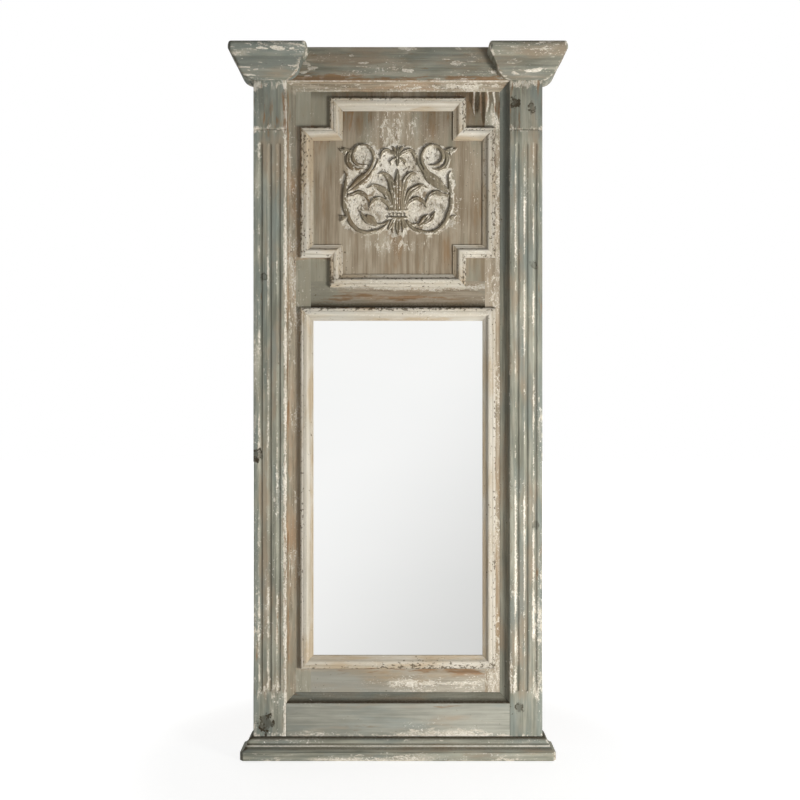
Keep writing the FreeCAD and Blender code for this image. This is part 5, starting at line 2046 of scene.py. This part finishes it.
carve("carving_palmette", PALMETTE_STROKES, BOTH_HANDS, PALMETTE_MIDDLE)
carve("carving_crest", CREST_STROKES, BOTH_HANDS, CREST_MIDDLE)
carve("carving_scroll_left", SCROLL_STROKES, (-1,))
carve("carving_scroll_right", SCROLL_STROKES, (1,))

# %% [markdown]
# ## Finishes on the kept boards
#
# The flat boards behind, the battens, the glass and the hangers keep their CAD shapes. They could be
# modelled again with rounded edges, but most are out of sight and their shapes are already right. They
# only change their material.

# %% Materials of the kept nodes
KEPT_FINISHES = (
    (side_finish, "side_board_left", "side_board_right"),
    (stile_finish, "field_stile_left", "field_stile_right"),
    (bottom_finish, "field_bottom_rail"),
    (middle_finish, "field_middle_rail"),
    (panel_finish, "upper_panel"),
    (batten_finish["x"], "back_rail_top", "back_rail_bottom"),
    (batten_finish["x"], "backing_batten_top", "backing_batten_bottom"),
    (batten_finish["z"], "backing_batten_left", "backing_batten_right"),
    (hardboard_finish, "mirror_backing"),
    (mirror_finish, "mirror_glass"),
    (steel_finish, "batten_screws", "hanger_screws", "hanger_strap_left", "hanger_strap_right"),
    (steel_finish, "hanger_ring_left", "hanger_ring_right"),
)
for finish, *names in KEPT_FINISHES:
    for name in names:
        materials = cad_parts[name].data.materials
        materials.clear()
        materials.append(finish)
print("kept nodes:", sum(len(names) for finish, *names in KEPT_FINISHES))

# %% [markdown]
# ## Floor
#
# The photograph is a cut-out on white. A white floor would be grey in its own shade, so for the camera
# the floor also glows, fully far away and only in part near the mirror, where a soft shadow stays. The
# glow is seen only by the camera and adds no light to the paint.

# %% Floor
FLOOR_HALF = 12.0
FLOOR_COLOUR = colour(238, 238, 236)
FLOOR_ROUGHNESS = 0.9
GLOW_STRENGTH = 1.66
NEAR_GLOW = 0.45
SHADOW_START = 0.5
SHADOW_END = 1.3

floor_work = bmesh.new()
bmesh.ops.create_grid(floor_work, x_segments=1, y_segments=1, size=FLOOR_HALF)
floor = to_object("floor", floor_work)
floor.visible_glossy = False

pale = Finish("pale_floor")
pale.shader.inputs["Base Color"].default_value = FLOOR_COLOUR
pale.shader.inputs["Roughness"].default_value = FLOOR_ROUGHNESS
to_camera, to_glass = (
    pale.node("ShaderNodeLightPath", output=f"Is {name} Ray") for name in ("Camera", "Transmission"))
white = pale.rise(pale.length(pale.spot()), SHADOW_START, SHADOW_END) * (1.0 - NEAR_GLOW) + NEAR_GLOW
glow = pale.node("ShaderNodeEmission", (), {"Color": (1, 1, 1, 1), "Strength": GLOW_STRENGTH})
plain = Wire(pale, pale.shader.outputs[0])
blend = pale.node("ShaderNodeMixShader", (), {0: to_camera.most(to_glass) * white, 1: plain, 2: glow})
pale.tree.links.new(blend.socket, pale.tree.nodes["Material Output"].inputs["Surface"])
floor.data.materials.append(pale.material)
print(f"floor glows from {SHADOW_START} m outwards")

# %% [markdown]
# ## World
#
# The background is white for the camera. The glass sees the same white, but darker towards the lower
# right, which gives the soft gradient of a studio wall in the mirror. A real wall could be built behind
# the camera, but its light would fall on the paint too. The paint sees neither: for it the world is a
# dim fill that is a little brighter from the left, from below and from behind.

# %% World
WALL_WHITE = colour(255, 255, 255)
MIRRORED_WHITE = colour(249, 249, 249)
MIRRORED_SHADE = colour(208, 208, 207)
# Where the mirrored wall darkens to the lower right
SHADE_SLANT = 1.1
SHADE_EDGE = (-0.02, 0.42)
FILL_LIGHT = 0.35
FILL_FROM_LEFT = 0.16
FILL_FROM_BELOW = 0.12
FILL_FROM_BEHIND = 0.5
world = bpy.data.worlds.new("studio")
world.use_nodes = True
scene.world = world


class Sky(Finish):
    """The same node helpers, on the world's tree."""

    def __init__(self):
        self.tree = world.node_tree
        self.tree.nodes.clear()


sky = Sky()
to_camera, to_mirror, through = (
    sky.node("ShaderNodeLightPath", output=f"Is {name} Ray")
    for name in ("Camera", "Glossy", "Transmission"))
aim_x, aim_y, aim_z = sky.parts(sky.node("ShaderNodeTexCoord", output="Generated"))
dim = sky.rise(aim_x * SHADE_SLANT - aim_z, *SHADE_EDGE) * to_mirror
backdrop = sky.mixed(dim, sky.mixed(to_mirror, WALL_WHITE, MIRRORED_WHITE), MIRRORED_SHADE)
seen = sky.node("ShaderNodeBackground", (), {"Color": backdrop, "Strength": 1.0})
fill_light = FILL_LIGHT - aim_x * FILL_FROM_LEFT - aim_z * FILL_FROM_BELOW
fill_light = fill_light + aim_y.most(0.0) * FILL_FROM_BEHIND
fill = sky.node("ShaderNodeBackground", (), {"Color": (1, 1, 1, 1), "Strength": fill_light})
sockets = {0: to_camera.most(to_mirror).most(through), 1: fill, 2: seen}
both = sky.node("ShaderNodeMixShader", (), sockets)
world_output = sky.tree.nodes.new("ShaderNodeOutputWorld")
sky.tree.links.new(both.socket, world_output.inputs["Surface"])
print("world nodes:", len(sky.tree.nodes))

# %% [markdown]
# ## Lamp
#
# One wide lamp stands low on the right in front of the mirror. It lights the left walls of the hollows
# and leaves the right walls dark, as in the photograph. A lamp above would be more usual, but then the
# shadows fall the wrong way. It is hidden from the glass, where it would show as a bright square.

# %% Lamp
KEY_PLACE = Vector((1.6, -1.7, 0.25))
KEY_AIM = Vector((0, 0, 0.95))
KEY_SIZE = (0.6, 0.5)
KEY_POWER = 58.0

key_data = bpy.data.lights.new("key_lamp", "AREA")
key_data.shape = "RECTANGLE"
key_data.size, key_data.size_y = KEY_SIZE
key_data.energy = KEY_POWER
key_lamp = bpy.data.objects.new("key_lamp", key_data)
key_lamp.location = KEY_PLACE
key_lamp.rotation_euler = (KEY_AIM - KEY_PLACE).to_track_quat("-Z", "Y").to_euler()
key_lamp.visible_glossy = False
scene.collection.objects.link(key_lamp)
print(f"key lamp of {KEY_POWER:.0f} W, {(KEY_AIM - KEY_PLACE).length:.1f} m away")
